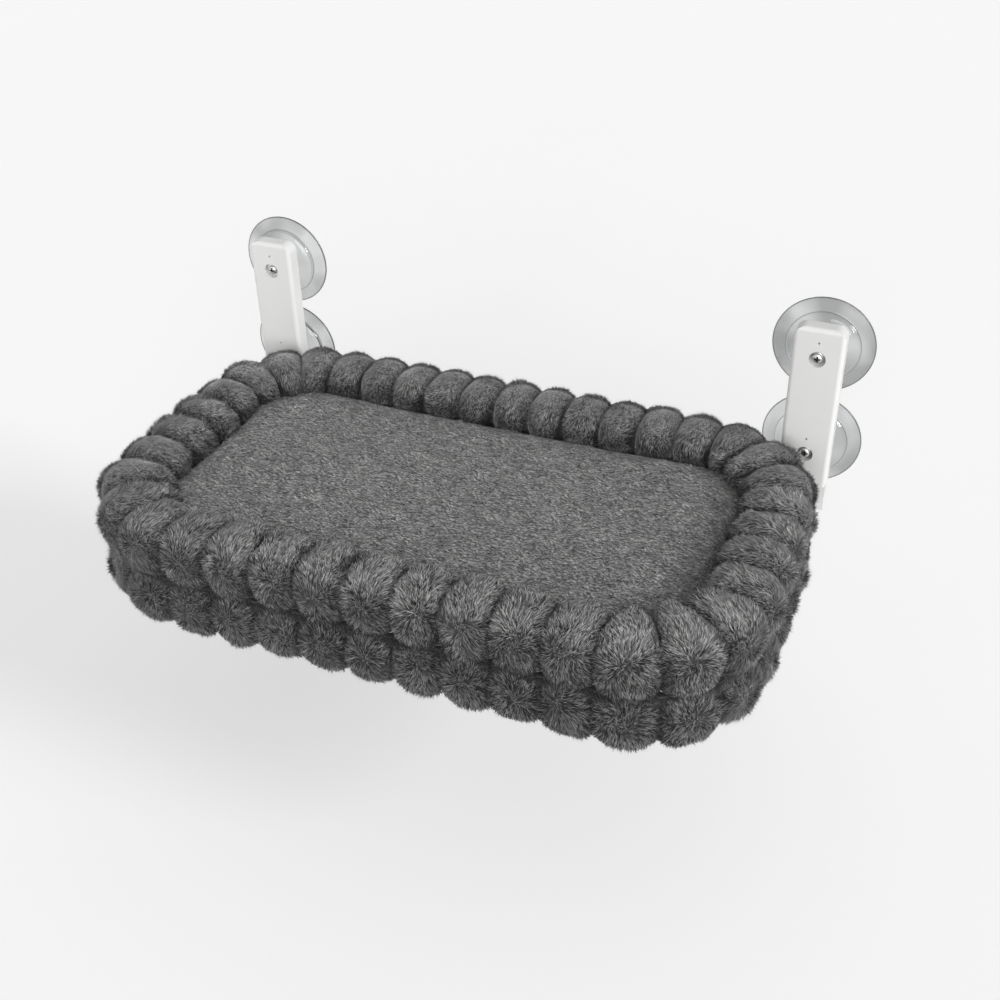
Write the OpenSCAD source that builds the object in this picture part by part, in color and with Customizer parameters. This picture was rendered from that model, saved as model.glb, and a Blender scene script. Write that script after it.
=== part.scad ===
// Window mounted cat perch: two hinged brackets on suction cups carry a plush bed.
// The window's glass is the plane y = 0, with the room at negative y and z up.
// The origin is the middle of the four suction cups, on the glass.

/* [Bed] */
// Length of the bed along the window
bed_l = 550; // [480:1:700]
// Depth of the bed, out from the window
bed_w = 330; // [300:1:420]
// Radius of the bed's corners in plan
bed_corner_r = 104; // [95:1:130]
// Width of the upper plush roll in plan
roll_w = 60; // [48:1:70]
// Height of the upper plush roll
upper_roll_h = 48; // [36:1:60]
// Height of the lower plush roll
lower_roll_h = 48; // [40:1:60]
// Thickness of the lower roll in front of the board
lower_roll_t = 24; // [20:1:34]
// How far the lower roll hangs below the bed's underside
skirt_drop = 17.3; // [12:0.1:24]
// Number of bubbles along each roll
bubbles = 40; // [34:1:48]
// Height of the sleeping mat at its edge
mat_t = 22; // [14:1:30]
// Rise of the sleeping mat from its edge to its middle
mat_crown = 4; // [1:0.5:10]
// Width of the sleeping mat's soft edge
mat_edge_w = 11; // [6:0.5:14]
// Height of the sleeping mat's soft edge
mat_edge_h = 12; // [7:0.5:13]
// How far the sleeping mat's edge reaches in under the upper roll
mat_tuck = 4; // [0:0.5:6]
// How far the sleeping mat's sides draw in between its corners
mat_draw = 2; // [0.5:0.1:4]
// Thickness of the base board
board_t = 4; // [3:0.5:9]
// Thickness of the fabric cover under the board
cover_t = 1; // [0.6:0.1:2]
// Gap between neighbouring soft pieces
soft_gap = 0.3; // [0.2:0.05:0.6]
// Gap in plan between the bed and the bars
bed_clearance = 1.6; // [1:0.1:4]

/* [Suction cups] */
// Diameter of a suction cup
cup_d = 82; // [60:1:100]
// Height between the two cups of a bar
cup_spacing = 86.6; // [84:0.2:120]
// Width of the flat lip that lies on the glass
cup_lip_w = 4; // [2:0.5:7]
// Thickness of a cup at its edge
cup_edge_t = 1.6; // [1:0.1:3]
// Diameter of the ring where the flange meets the dome
cup_ring_d = 58.6; // [44:0.2:66]
// Depth from the glass to the flange's outer face at that ring
cup_flange_h = 4.2; // [3:0.1:6]
// Depth from the glass to the dome's foot at that ring
cup_step_h = 5.4; // [4:0.1:8]
// Depth from the glass to the top of the dome
cup_dome_h = 10.8; // [9:0.1:14]
// Depth of the vacuum hollow in the middle
cup_hollow_h = 3.4; // [2:0.1:5]
// Depth of the vacuum hollow under the ring
cup_hollow_ring_h = 2; // [1:0.1:3]
// Diameter of the hub that seats on the bar
cup_hub_d = 26; // [20:0.5:34]
// Diameter of the stem inside the bar
cup_stem_d = 12; // [10:0.2:16]
// Length of the stem inside the bar
cup_stem_l = 6.8; // [5:0.1:8]

/* [Bars] */
// Distance from the bed's end to a bar's centre line
bracket_inset = 29; // [26:0.5:60]
// Width of a bar
bar_w = 40.5; // [36:0.5:52]
// Thickness of a bar
bar_t = 14; // [12:0.5:20]
// Distance from the glass to the back of a bar
bar_standoff = 15; // [13:0.5:22]
// Height of a bar above its upper screw
bar_head = 26.2; // [22:0.2:40]
// Length of a bar's face below its lower screw
bar_tail = 28.7; // [24:0.1:40]
// Radius of a bar's top corners
bar_corner_r = 9; // [5:0.5:14]
// Radius of a bar's front edges
bar_edge_r = 3.5; // [1:0.5:5]
// Thickness of a bar's walls
bar_wall = 2.6; // [1.8:0.1:4]
// Thickness of the ribs behind a bar
bar_rib_t = 2; // [1.2:0.1:3]
// Diameter of the pinhole above a screw
pinhole_d = 2; // [1:0.1:3]
// Height of the pinhole above its screw
pinhole_rise = 14.3; // [12:0.1:18]

/* [Screws] */
// Diameter of a screw's thread
screw_d = 3.9; // [3:0.1:5]
// Length of a screw under its head
screw_l = 10.4; // [8:0.1:12]
// Diameter of a screw's head
screw_head_d = 8.4; // [7:0.1:10]
// Height of a screw's head
screw_head_h = 2.6; // [2:0.1:3]
// Diameter of a washer
washer_d = 13; // [11:0.1:15]
// Thickness of a washer
washer_t = 1; // [0.6:0.1:1.5]
// Depth of the recess for a screw's head and washer
recess_h = 4.2; // [3.8:0.1:6]
// Outer diameter of a brass insert
insert_d = 7; // [6:0.1:8]
// Length of a brass insert
insert_l = 8; // [6:0.1:9]

/* [Hinges] */
// Distance from the lower screw down to the hinge axis
hinge_drop = 48.7; // [46:0.1:64]
// Diameter of a hinge pin
pin_d = 6; // [4:0.1:8]
// Thickness of a clevis cheek
cheek_t = 6; // [4:0.1:8]
// How far the cheeks stand back from the bar's face
cheek_step = 1.5; // [0.5:0.1:3]
// Height of the stop web above the knuckle
web_h = 7; // [4:0.1:9]
// How far the stop web stands back from the bar's face
web_step = 4; // [2:0.1:6]
// Thickness of a hinge washer
hinge_washer_t = 0.6; // [0.4:0.1:1]
// Diameter of a hinge washer
hinge_washer_d = 11; // [9:0.1:12]
// Radius of the arm's knuckle
knuckle_r = 9; // [8.6:0.1:11]
// Running clearance of a pin in the knuckle
pin_clearance = 0.05; // [0.02:0.01:0.1]
// Clearance between parts that are fitted together
fit_gap = 0.1; // [0.05:0.01:0.2]

/* [Arms] */
// Depth of an arm at the hinge
arm_h = 14.7; // [12:0.1:20]
// Depth of an arm at its tip
arm_tip_h = 9; // [7:0.1:12]
// Radius of the arm's heel
arm_heel_r = 8; // [4:0.5:9]
// Thickness of an arm's walls
arm_wall = 2.4; // [1.6:0.1:4]
// Thickness of the ribs under an arm
arm_rib_t = 1.8; // [1.2:0.1:3]
// Number of cross ribs under an arm
arm_ribs = 7; // [4:1:10]
// Length of a hook strip
strip_l = 150; // [100:1:180]
// Width of a hook strip
strip_w = 16; // [10:0.5:20]
// Thickness of a hook strip
hook_t = 2.2; // [1.6:0.1:3]
// Thickness of a loop strip
loop_t = 1.8; // [1:0.1:3]
// How far a hook strip stands proud of the arm
hook_proud = 0.4; // [0.2:0.1:0.6]

/* [Hidden] */
$fn = 64;

// One overrun serves every cut
overrun = 1;

// Heights and places of the bars
bracket_x = bed_l / 2 - bracket_inset;
cup_heights = [cup_spacing / 2, -cup_spacing / 2];
bar_front = bar_standoff + bar_t;
bar_top_z = cup_spacing / 2 + bar_head;
bar_end_z = -cup_spacing / 2 - bar_tail;
boss_d = max(washer_d, cup_stem_d) + 2 * bar_wall;
recess_d = washer_d + 6 * fit_gap;
screw_seat = bar_front - recess_h;
rib_shares = [-0.3, 0, 0.3];

// Hinge: the cheeks hold the pin, and the knuckle turns on it
cheek_depth = bar_t - cheek_step;
hinge_y = -bar_standoff - cheek_depth / 2;
hinge_z = -cup_spacing / 2 - hinge_drop;
clevis_gap = bar_w - 2 * cheek_t;
arm_w = clevis_gap - 2 * hinge_washer_t - 2 * fit_gap;
stop_gap = 3 * fit_gap;
pin_recess = 5 * fit_gap;

// The arms end where the bed's front corners begin
bar_dx = max(0, bracket_x - bar_w / 2 - bed_l / 2 + bed_corner_r);
corner_fall = bed_corner_r - sqrt(pow(bed_corner_r, 2) - pow(min(bar_dx, bed_corner_r), 2));
bed_back = max(bed_clearance, bar_front + bed_clearance - corner_fall);
bed_mid_y = -bed_back - bed_w / 2;
arm_top_z = hinge_z - knuckle_r;
arm_heel_y = hinge_y + knuckle_r;
arm_tip_mid_y = -bed_back - bed_w + bed_corner_r;
arm_len = arm_heel_y - arm_tip_mid_y;
strip_mid_y = (hinge_y + arm_tip_mid_y) / 2;

// The bed's layers, from the arms up
hook_top_z = arm_top_z + hook_proud;
loop_z = hook_top_z + soft_gap;
cover_z = loop_z + loop_t + soft_gap;
board_z = cover_z + cover_t + soft_gap;
foam_z = board_z + board_t + soft_gap;
lower_roll_z = cover_z - skirt_drop;
foam_top_z = lower_roll_z + lower_roll_h;
upper_roll_z = foam_top_z + soft_gap;
mat_z = foam_top_z + soft_gap;

// Shapes of the rolls: each bubble has one ring in its groove and two on its swell
ring_shares = [0, 0.32, 0.68];
groove_share = 0.78;
// The bubbles are shorter than their mean at the back, by this share, and longer at the front
pitch_swing_share = 0.085;
// Sections of the rolls, as shares of their thickness inwards and of their height upwards
upper_outer_shares = [[0.2, 0], [0.06, 0.16], [0, 0.45], [0.05, 0.75], [0.22, 0.95], [0.5, 1]];
upper_inner_shares = [[0.78, 0.95], [0.95, 0.75], [1, 0.45], [0.75, 0]];
upper_shares = concat(upper_outer_shares, upper_inner_shares);
lower_shares = [[0.5, 1], [0.21, 0.87], [0.05, 0.7], [0, 0.5], [0.05, 0.3], [0.2, 0.1], [0.42, 0]];

// The lower roll leaves room for the arms that pass under it
arm_room = bracket_inset - arm_w / 2;
skirt_in = min(lower_roll_t - soft_gap, arm_room - 2 * soft_gap);
// Extra room behind the lower roll's inner wall, whose rings cut across the corners as chords
wall_ease = 0.2;
notch_margin_shares = [0.35, 0.25];
mat_sides = 64;

bar_white = [0.93, 0.93, 0.92];
cup_clear = [0.78, 0.80, 0.80, 0.5];
steel_grey = [0.70, 0.70, 0.71];
brass_yellow = [0.78, 0.63, 0.33];
plush_grey = [0.36, 0.36, 0.36];
mat_grey = [0.47, 0.47, 0.47];
lining_grey = [0.25, 0.25, 0.26];
board_brown = [0.72, 0.58, 0.42];
foam_white = [0.90, 0.89, 0.84];
tape_black = [0.12, 0.12, 0.12];

// Turns a shape so that it grows from a given depth in front of the glass into the room
module from_glass(depth) {
    translate([0, -depth, 0])
        rotate([90, 0, 0])
            children();
}

// Extrudes an outline drawn in y and z along x, centred
module along_x(length) {
    rotate([90, 0, 90])
        linear_extrude(height = length, center = true)
            children();
}

// A rectangle around the origin with round corners
module rounded_plate(length, width, r) {
    square([length - 2 * r, width], center = true);
    square([length, width - 2 * r], center = true);
    for (sx = [-1, 1])
        for (sy = [-1, 1])
            translate([sx * (length / 2 - r), sy * (width / 2 - r)])
                circle(r);
}

// A layer of the bed, set in from the bed's outline
module bed_layer(inset, low, thickness) {
    translate([0, bed_mid_y, low])
        linear_extrude(thickness)
            rounded_plate(bed_l - 2 * inset, bed_w - 2 * inset, bed_corner_r - inset);
}

// A bar's outline seen from the room, with round top corners
module bar_face(inset) {
    r = bar_corner_r - inset;
    half = bar_w / 2 - inset;
    top = bar_top_z - inset;
    low = bar_end_z + inset;
    translate([-half, low])
        square([2 * half, top - r - low]);
    translate([-half + r, low])
        square([2 * half - 2 * r, top - low]);
    for (sx = [-1, 1])
        translate([sx * (half - r), top - r])
            circle(r);
}

// A bar's section from above, with round front edges
module bar_section() {
    half = bar_w / 2;
    translate([-half, -bar_front + bar_edge_r])
        square([bar_w, bar_t - bar_edge_r]);
    translate([-half + bar_edge_r, -bar_front])
        square([bar_w - 2 * bar_edge_r, bar_t]);
    for (sx = [-1, 1])
        translate([sx * (half - bar_edge_r), -bar_front + bar_edge_r])
            circle(bar_edge_r);
}

// A bar's profile from the side, with a round edge at its head
module bar_profile() {
    translate([-bar_front, bar_end_z])
        square([bar_t, bar_top_z - bar_edge_r - bar_end_z]);
    translate([-bar_front + bar_edge_r, bar_end_z])
        square([bar_t - bar_edge_r, bar_top_z - bar_end_z]);
    translate([-bar_front + bar_edge_r, bar_top_z - bar_edge_r])
        circle(bar_edge_r);
}

module bar_blank() {
    intersection() {
        from_glass(bar_standoff)
            linear_extrude(bar_t)
                bar_face(0);
        translate([0, 0, bar_end_z])
            linear_extrude(bar_top_z - bar_end_z)
                bar_section();
        along_x(bar_w)
            bar_profile();
    }
}

// The moulding is open at the back, with a spine, cross ribs and a boss for each cup
module bar_pocket() {
    difference() {
        from_glass(bar_standoff - overrun)
            linear_extrude(bar_t - bar_wall + overrun)
                bar_face(bar_wall);
        from_glass(bar_standoff - 2 * overrun)
            linear_extrude(bar_t + overrun) {
                translate([-bar_rib_t / 2, bar_end_z])
                    square([bar_rib_t, bar_top_z - bar_end_z]);
                for (share = rib_shares)
                    translate([-bar_w / 2, share * (bar_top_z - bar_end_z) - bar_rib_t / 2])
                        square([bar_w, bar_rib_t]);
                for (z = cup_heights)
                    translate([0, z])
                        circle(d = boss_d);
            }
    }
}

module clevis_cheeks() {
    for (sx = [-1, 1])
        translate([sx * (bar_w - cheek_t) / 2, 0, 0])
            along_x(cheek_t) {
                translate([hinge_y, hinge_z])
                    circle(d = cheek_depth);
                translate([hinge_y - cheek_depth / 2, hinge_z])
                    square([cheek_depth, bar_end_z + bar_wall - hinge_z]);
            }
}

// The arm's heel bears up against this web when the arm is level
module stop_web() {
    translate([-bar_w / 2 + cheek_t / 2, -bar_front + web_step, bar_end_z - web_h])
        cube([bar_w - cheek_t, bar_t - web_step, web_h + bar_wall]);
}

module screw_cuts() {
    for (z = cup_heights)
        translate([0, 0, z]) {
            from_glass(screw_seat)
                cylinder(d = recess_d, h = recess_h + overrun);
            from_glass(bar_standoff - overrun)
                cylinder(d = screw_d + 4 * fit_gap, h = bar_t + 2 * overrun);
            from_glass(bar_standoff - overrun)
                cylinder(d = cup_stem_d + 2 * fit_gap, h = cup_stem_l + fit_gap + overrun);
            translate([0, 0, pinhole_rise])
                from_glass(bar_front - bar_t / 2)
                    cylinder(d = pinhole_d, h = bar_t / 2 + overrun);
        }
}

module hinge_bore(d, length) {
    translate([0, hinge_y, hinge_z])
        rotate([0, 90, 0])
            cylinder(d = d, h = length, center = true);
}

module bar(side) {
    color(bar_white)
        translate([side * bracket_x, 0, 0])
            difference() {
                union() {
                    difference() {
                        bar_blank();
                        bar_pocket();
                    }
                    clevis_cheeks();
                    stop_web();
                }
                screw_cuts();
                hinge_bore(pin_d + 2 * pin_clearance, bar_w + 2 * overrun);
            }
}

// Half section of a cup, as radius and depth from the glass
module cup_section() {
    ring_r = cup_ring_d / 2;
    hub_r = cup_hub_d / 2;
    stem_r = cup_stem_d / 2;
    dome = [
        for (a = [0 : 15 : 90])
            [hub_r + (ring_r - hub_r) * cos(a), cup_step_h + (cup_dome_h - cup_step_h) * sin(a)]
    ];
    difference() {
        polygon(concat(
            [[0, cup_hollow_h], [hub_r, cup_hollow_h], [ring_r, cup_hollow_ring_h]],
            [[cup_d / 2 - cup_lip_w, 0], [cup_d / 2, 0], [cup_d / 2, cup_edge_t], [ring_r, cup_flange_h]],
            dome,
            [[hub_r, bar_standoff], [stem_r, bar_standoff], [stem_r, bar_standoff + cup_stem_l]],
            [[0, bar_standoff + cup_stem_l]]
        ));
        translate([0, bar_standoff + cup_stem_l - insert_l])
            square([insert_d / 2 + fit_gap / 2, insert_l + overrun]);
    }
}

module cup(side, height) {
    color(cup_clear)
        translate([side * bracket_x, 0, height])
            from_glass(0)
                rotate_extrude()
                    cup_section();
}

// Puts a copy at each of the four screws
module at_screws() {
    for (side = [-1, 1])
        for (z = cup_heights)
            translate([side * bracket_x, 0, z])
                children();
}

module cup_screws() {
    color(steel_grey)
        at_screws()
            from_glass(screw_seat + washer_t)
                rotate_extrude() {
                    translate([0, -screw_l])
                        square([screw_d / 2, screw_l + screw_head_h / 2]);
                    square([screw_head_d / 2, screw_head_h / 2]);
                    intersection() {
                        translate([0, screw_head_h / 2])
                            circle(d = screw_head_d);
                        square([screw_head_d / 2, screw_head_h]);
                    }
                }
}

module cup_washers() {
    color(steel_grey)
        at_screws()
            from_glass(screw_seat)
                difference() {
                    cylinder(d = washer_d, h = washer_t);
                    translate([0, 0, -overrun])
                        cylinder(d = screw_d + 4 * fit_gap, h = washer_t + 2 * overrun);
                }
}

module cup_inserts() {
    color(brass_yellow)
        at_screws()
            from_glass(bar_standoff + cup_stem_l - insert_l)
                difference() {
                    cylinder(d = insert_d, h = insert_l);
                    translate([0, 0, -overrun])
                        cylinder(d = screw_d + fit_gap, h = insert_l + 2 * overrun);
                }
}

module hinge_pin(side) {
    color(steel_grey)
        translate([side * bracket_x, 0, 0])
            hinge_bore(pin_d, bar_w - 2 * pin_recess);
}

module hinge_washers() {
    color(steel_grey)
        for (side = [-1, 1])
            for (end = [-1, 1])
                translate([side * bracket_x + end * (clevis_gap - hinge_washer_t) / 2, 0, 0])
                    difference() {
                        hinge_bore(hinge_washer_d, hinge_washer_t);
                        hinge_bore(pin_d + 2 * pin_clearance, hinge_washer_t + 2 * overrun);
                    }
}

// An arm's side profile: a round heel, a straight top and an underside that rises to the tip
module arm_profile() {
    low = arm_top_z - arm_h;
    tip_y = arm_tip_mid_y - arm_w / 2;
    polygon([
        [arm_heel_y, arm_top_z], [tip_y, arm_top_z], [tip_y, arm_top_z - arm_tip_h],
        [hinge_y - knuckle_r, low], [arm_heel_y - arm_heel_r, low], [arm_heel_y, low + arm_heel_r]
    ]);
    translate([arm_heel_y - arm_heel_r, low + arm_heel_r])
        circle(arm_heel_r);
}

// An arm's outline from above, with a round tip
module arm_plan(inset) {
    half = arm_w / 2 - inset;
    translate([-half, arm_tip_mid_y])
        square([2 * half, arm_len - inset]);
    translate([0, arm_tip_mid_y])
        circle(half);
}

module arm_beam() {
    low = arm_top_z - arm_h;
    difference() {
        intersection() {
            along_x(arm_w)
                arm_profile();
            translate([0, 0, low])
                linear_extrude(arm_h)
                    arm_plan(0);
        }
        arm_pocket();
    }
}

// The underside is open between a spine and the cross ribs, in front of the knuckle
module arm_pocket() {
    low = arm_top_z - arm_h;
    front = hinge_y - knuckle_r;
    span = front - arm_tip_mid_y;
    difference() {
        translate([0, 0, low - overrun])
            linear_extrude(arm_h - hook_t - arm_wall + overrun)
                difference() {
                    arm_plan(arm_wall);
                    translate([-arm_w / 2, front])
                        square([arm_w, arm_heel_y - front]);
                }
        translate([0, 0, low - 2 * overrun])
            linear_extrude(arm_h + overrun) {
                translate([-arm_rib_t / 2, arm_tip_mid_y - arm_w / 2])
                    square([arm_rib_t, arm_len + arm_w / 2]);
                for (k = [1 : arm_ribs])
                    translate([-arm_w / 2, front - k * span / (arm_ribs + 1) - arm_rib_t / 2])
                        square([arm_w, arm_rib_t]);
            }
    }
}

// The knuckle joins the beam to the pin, and its nose meets the stop web
module arm_knuckle() {
    nose_top = bar_end_z - web_h - stop_gap;
    along_x(arm_w) {
        translate([hinge_y, hinge_z])
            circle(knuckle_r);
        translate([hinge_y - knuckle_r, arm_top_z - arm_wall])
            square([2 * knuckle_r, knuckle_r + arm_wall]);
        translate([hinge_y, hinge_z])
            square([cheek_depth / 2, nose_top - hinge_z]);
    }
}

// A strip's outline on an arm, or its recess with a gap round it
module strip_place(gap) {
    translate([0, strip_mid_y])
        square([strip_w + 2 * gap, strip_l + 2 * gap], center = true);
}

module arm(side) {
    color(bar_white)
        translate([side * bracket_x, 0, 0])
            difference() {
                union() {
                    arm_beam();
                    arm_knuckle();
                }
                hinge_bore(pin_d + 2 * pin_clearance, arm_w + 2 * overrun);
                translate([0, 0, hook_top_z - hook_t])
                    linear_extrude(hook_t + overrun)
                        strip_place(fit_gap);
            }
}

module hook_strip(side) {
    color(tape_black)
        translate([side * bracket_x, 0, hook_top_z - hook_t])
            linear_extrude(hook_t)
                strip_place(0);
}

module loop_strips() {
    color(tape_black)
        for (side = [-1, 1])
            translate([side * bracket_x, 0, loop_z])
                linear_extrude(loop_t)
                    strip_place(0);
}

module bottom_cover() {
    color(lining_grey)
        bed_layer(lower_roll_t + soft_gap, cover_z, cover_t);
}

module base_board() {
    color(board_brown)
        bed_layer(lower_roll_t + soft_gap, board_z, board_t);
}

module foam_core() {
    color(foam_white)
        bed_layer(lower_roll_t + soft_gap, foam_z, foam_top_z - foam_z);
}

// Half the way round a rounded rectangle, from the middle of its back edge to the middle of
// its front edge: place and outward angle at distance p. lx and ly are its straight lengths.
function half_loop(p, lx, ly, r) =
    let (q = PI * r / 2)
    p < lx / 2 ? [p, ly / 2 + r, 90] :
    p < lx / 2 + q ?
        let (a = 90 - (p - lx / 2) / r * 180 / PI)
        [lx / 2 + r * cos(a), ly / 2 + r * sin(a), a] :
    p < lx / 2 + q + ly ? [lx / 2 + r, ly / 2 - (p - lx / 2 - q), 0] :
    p < lx / 2 + 2 * q + ly ?
        let (a = -(p - lx / 2 - q - ly) / r * 180 / PI)
        [lx / 2 + r * cos(a), -ly / 2 + r * sin(a), a] :
    [lx + 2 * q + ly - p, -ly / 2 - r, -90];

function loop_length(lx, ly, r) = 2 * (lx + ly + PI * r);

// The whole loop: its second half is the first turned by half a turn
function loop_at(p, lx, ly, r) =
    let (whole = loop_length(lx, ly, r))
    let (at = p < 0 ? p + whole : p)
    at < whole / 2 ? half_loop(at, lx, ly, r) :
    let (h = half_loop(at - whole / 2, lx, ly, r))
    [-h[0], -h[1], h[2] + 180];

// A point of the bed at a station of the loop, set in from the bed's outline
function bed_point(station, inset, loop_inset, z) =
    let (out = loop_inset - inset)
    [station[0] + out * cos(station[2]), bed_mid_y + station[1] + out * sin(station[2]), z];

bed_lx = bed_l - 2 * bed_corner_r;
bed_ly = bed_w - 2 * bed_corner_r;

// The loop along the middle of the upper roll, and the mean pitch of its bubbles
roll_mid = roll_w / 2;
roll_loop_r = bed_corner_r - roll_mid;
bubble_pitch = loop_length(bed_lx, bed_ly, roll_loop_r) / bubbles;

// How far along the loop a bubble lies, by its number from the middle of the back
function bubble_place(number) =
    let (swing = pitch_swing_share * bubbles / (2 * PI) * sin(360 * number / bubbles))
    bubble_pitch * (number - swing);

// The round rise of a bubble between its two grooves
function arch(share) = sqrt(1 - pow(2 * share - 1, 2));

// Stations of the bubble rings, and how far each is swollen
roll_stations = [
    for (i = [0 : bubbles - 1])
        for (share = ring_shares)
            loop_at(bubble_place(i + share - 0.5), bed_lx, bed_ly, roll_loop_r)
];
swells = [
    for (i = [0 : bubbles - 1])
        for (share = ring_shares)
            groove_share + (1 - groove_share) * arch(share) / arch(ring_shares[1])
];

// Joins closed rings of equal count into a closed ring of rings
function tube_faces(rings, sides) = [
    for (k = [0 : rings - 1])
        for (j = [0 : sides - 1])
            let (k2 = (k + 1) % rings, j2 = (j + 1) % sides)
            let (a = k * sides + j, b = k * sides + j2, c = k2 * sides + j2, d = k2 * sides + j)
            each [[a, b, c], [a, c, d]]
];

// A height on a roll's section: it draws in with the groove, but not where the rolls press together
function swell_height(share, pressed, f) = share == pressed ? share - 0.5 : (share - 0.5) * f;

function upper_ring(k) = [
    for (share = upper_shares)
        bed_point(
            roll_stations[k],
            roll_mid + roll_w * (share[0] - 0.5) * swells[k],
            roll_mid,
            upper_roll_z + upper_roll_h * (0.5 + swell_height(share[1], 0, swells[k]))
        )
];

module upper_roll() {
    points = [for (k = [0 : len(roll_stations) - 1]) each upper_ring(k)];
    color(plush_grey)
        polyhedron(points, tube_faces(len(roll_stations), len(upper_shares)));
}

notch_in = bracket_x - arm_w / 2 - notch_margin_shares[0] * bubble_pitch;
notch_out = bracket_x + arm_w / 2 + notch_margin_shares[1] * bubble_pitch;

// Over an arm, at the bed's back corners, the lower roll's underside is raised
function notched(p) =
    abs(p[0]) > notch_in && abs(p[0]) < notch_out && p[1] > bed_mid_y + bed_ly / 2 ?
        [p[0], p[1], max(p[2], cover_z)] : p;

function lower_ring(k) =
    let (f = swells[k])
    concat(
        [
            for (share = lower_shares)
                notched(bed_point(
                    roll_stations[k],
                    lower_roll_t - lower_roll_t * (1 - share[0]) * f,
                    roll_mid,
                    lower_roll_z + lower_roll_h * (0.5 + swell_height(share[1], 1, f))
                ))
        ],
        [
            bed_point(roll_stations[k], skirt_in, roll_mid, cover_z),
            bed_point(roll_stations[k], lower_roll_t - wall_ease, roll_mid, cover_z),
            bed_point(roll_stations[k], lower_roll_t - wall_ease, roll_mid, foam_top_z - soft_gap)
        ]
    );

module lower_roll() {
    points = [for (k = [0 : len(roll_stations) - 1]) each lower_ring(k)];
    color(plush_grey)
        polyhedron(points, tube_faces(len(roll_stations), len(lower_ring(0))));
}

// The sleeping mat's edge tucks in under the upper roll, and draws in along its sides
mat_inset = roll_w - mat_tuck;
mat_r = bed_corner_r - mat_inset;
mat_top_z = mat_z + mat_t;
mat_stations = [
    for (i = [0 : mat_sides - 1])
        loop_at((i + 0.5) / mat_sides * loop_length(bed_lx, bed_ly, mat_r), bed_lx, bed_ly, mat_r)
];

// How far a station lies from the corners, from 0 at a corner to 1 at the middle of a side
function draw_share(station) =
    let (x = abs(station[0]) / (bed_lx / 2), y = abs(station[1]) / (bed_ly / 2))
    max(0, 1 - pow(min(x, y), 2));

// Edge rings as shares of the soft edge's width and height, crown rings as shares of the plan
mat_low_shares = [[0.6, 0], [0.15, 0.2], [0, 0.5]];
mat_high_shares = [[0, 1], [0.25, 0.6], [0.5, 0.22], [1, 0]];
mat_crown_shares = [0.8, 0.5, 0.2];

function mat_edge_ring(share, z) = [
    for (s = mat_stations)
        bed_point(s, share * mat_edge_w + mat_draw * draw_share(s), 0, z)
];

function mat_crown_ring(share) = [
    for (p = mat_edge_ring(1, 0))
        [p[0] * share, bed_mid_y + (p[1] - bed_mid_y) * share, mat_top_z + mat_crown * (1 - pow(share, 2))]
];

mat_rings = concat(
    [for (s = mat_low_shares) mat_edge_ring(s[0], mat_z + s[1] * (mat_t - mat_edge_h))],
    [for (s = mat_high_shares) mat_edge_ring(s[0], mat_top_z - s[1] * mat_edge_h)],
    [for (s = mat_crown_shares) mat_crown_ring(s)]
);

module sleeping_mat() {
    rings = len(mat_rings);
    last = rings * mat_sides;
    points = concat(
        [for (ring = mat_rings) each ring],
        [[0, bed_mid_y, mat_z], [0, bed_mid_y, mat_top_z + mat_crown]]
    );
    walls = [
        for (k = [0 : rings - 2])
            for (j = [0 : mat_sides - 1])
                let (j2 = (j + 1) % mat_sides)
                let (a = k * mat_sides + j, b = k * mat_sides + j2)
                each [[a, a + mat_sides, b + mat_sides], [a, b + mat_sides, b]]
    ];
    floor_faces = [for (j = [0 : mat_sides - 1]) [last, j, (j + 1) % mat_sides]];
    top = (rings - 1) * mat_sides;
    top_faces = [for (j = [0 : mat_sides - 1]) [last + 1, top + (j + 1) % mat_sides, top + j]];
    color(mat_grey)
        polyhedron(points, concat(walls, floor_faces, top_faces));
}

bar(-1);  // left_bar
bar(1);  // right_bar
cup(-1, cup_heights[0]);  // left_upper_cup
cup(-1, cup_heights[1]);  // left_lower_cup
cup(1, cup_heights[0]);  // right_upper_cup
cup(1, cup_heights[1]);  // right_lower_cup
cup_screws();
cup_washers();
cup_inserts();
hinge_pin(-1);  // left_hinge_pin
hinge_pin(1);  // right_hinge_pin
hinge_washers();
arm(-1);  // left_arm
arm(1);  // right_arm
hook_strip(-1);  // left_hook_strip
hook_strip(1);  // right_hook_strip
loop_strips();
bottom_cover();
base_board();
foam_core();
lower_roll();
upper_roll();
sleeping_mat();
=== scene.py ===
"""Finishes of a window mounted cat perch, laid out as an add-on and run as a script."""

import math

import bmesh
import bpy
import numpy as np
from bpy.props import FloatProperty, FloatVectorProperty, IntProperty, PointerProperty
from bpy.types import NodeSocket, Operator, Panel, PropertyGroup
from mathutils import Matrix, Vector


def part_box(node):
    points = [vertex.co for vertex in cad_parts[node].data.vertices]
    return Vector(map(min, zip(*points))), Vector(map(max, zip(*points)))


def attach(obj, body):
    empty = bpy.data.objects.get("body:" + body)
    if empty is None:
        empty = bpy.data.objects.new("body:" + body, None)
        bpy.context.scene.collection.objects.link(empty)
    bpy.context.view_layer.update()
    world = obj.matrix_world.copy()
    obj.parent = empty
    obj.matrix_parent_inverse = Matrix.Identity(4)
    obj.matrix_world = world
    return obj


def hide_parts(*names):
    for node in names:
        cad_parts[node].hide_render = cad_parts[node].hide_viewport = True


bl_info = {
    "name": "Window Perch Finishes",
    "version": (1, 0, 0),
    "blender": (4, 5, 0),
    "location": "3D View > Sidebar > Perch",
    "description": "Makes the bed, cups, fastenings and finishes of a window mounted cat perch",
    "category": "Object",
}

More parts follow.
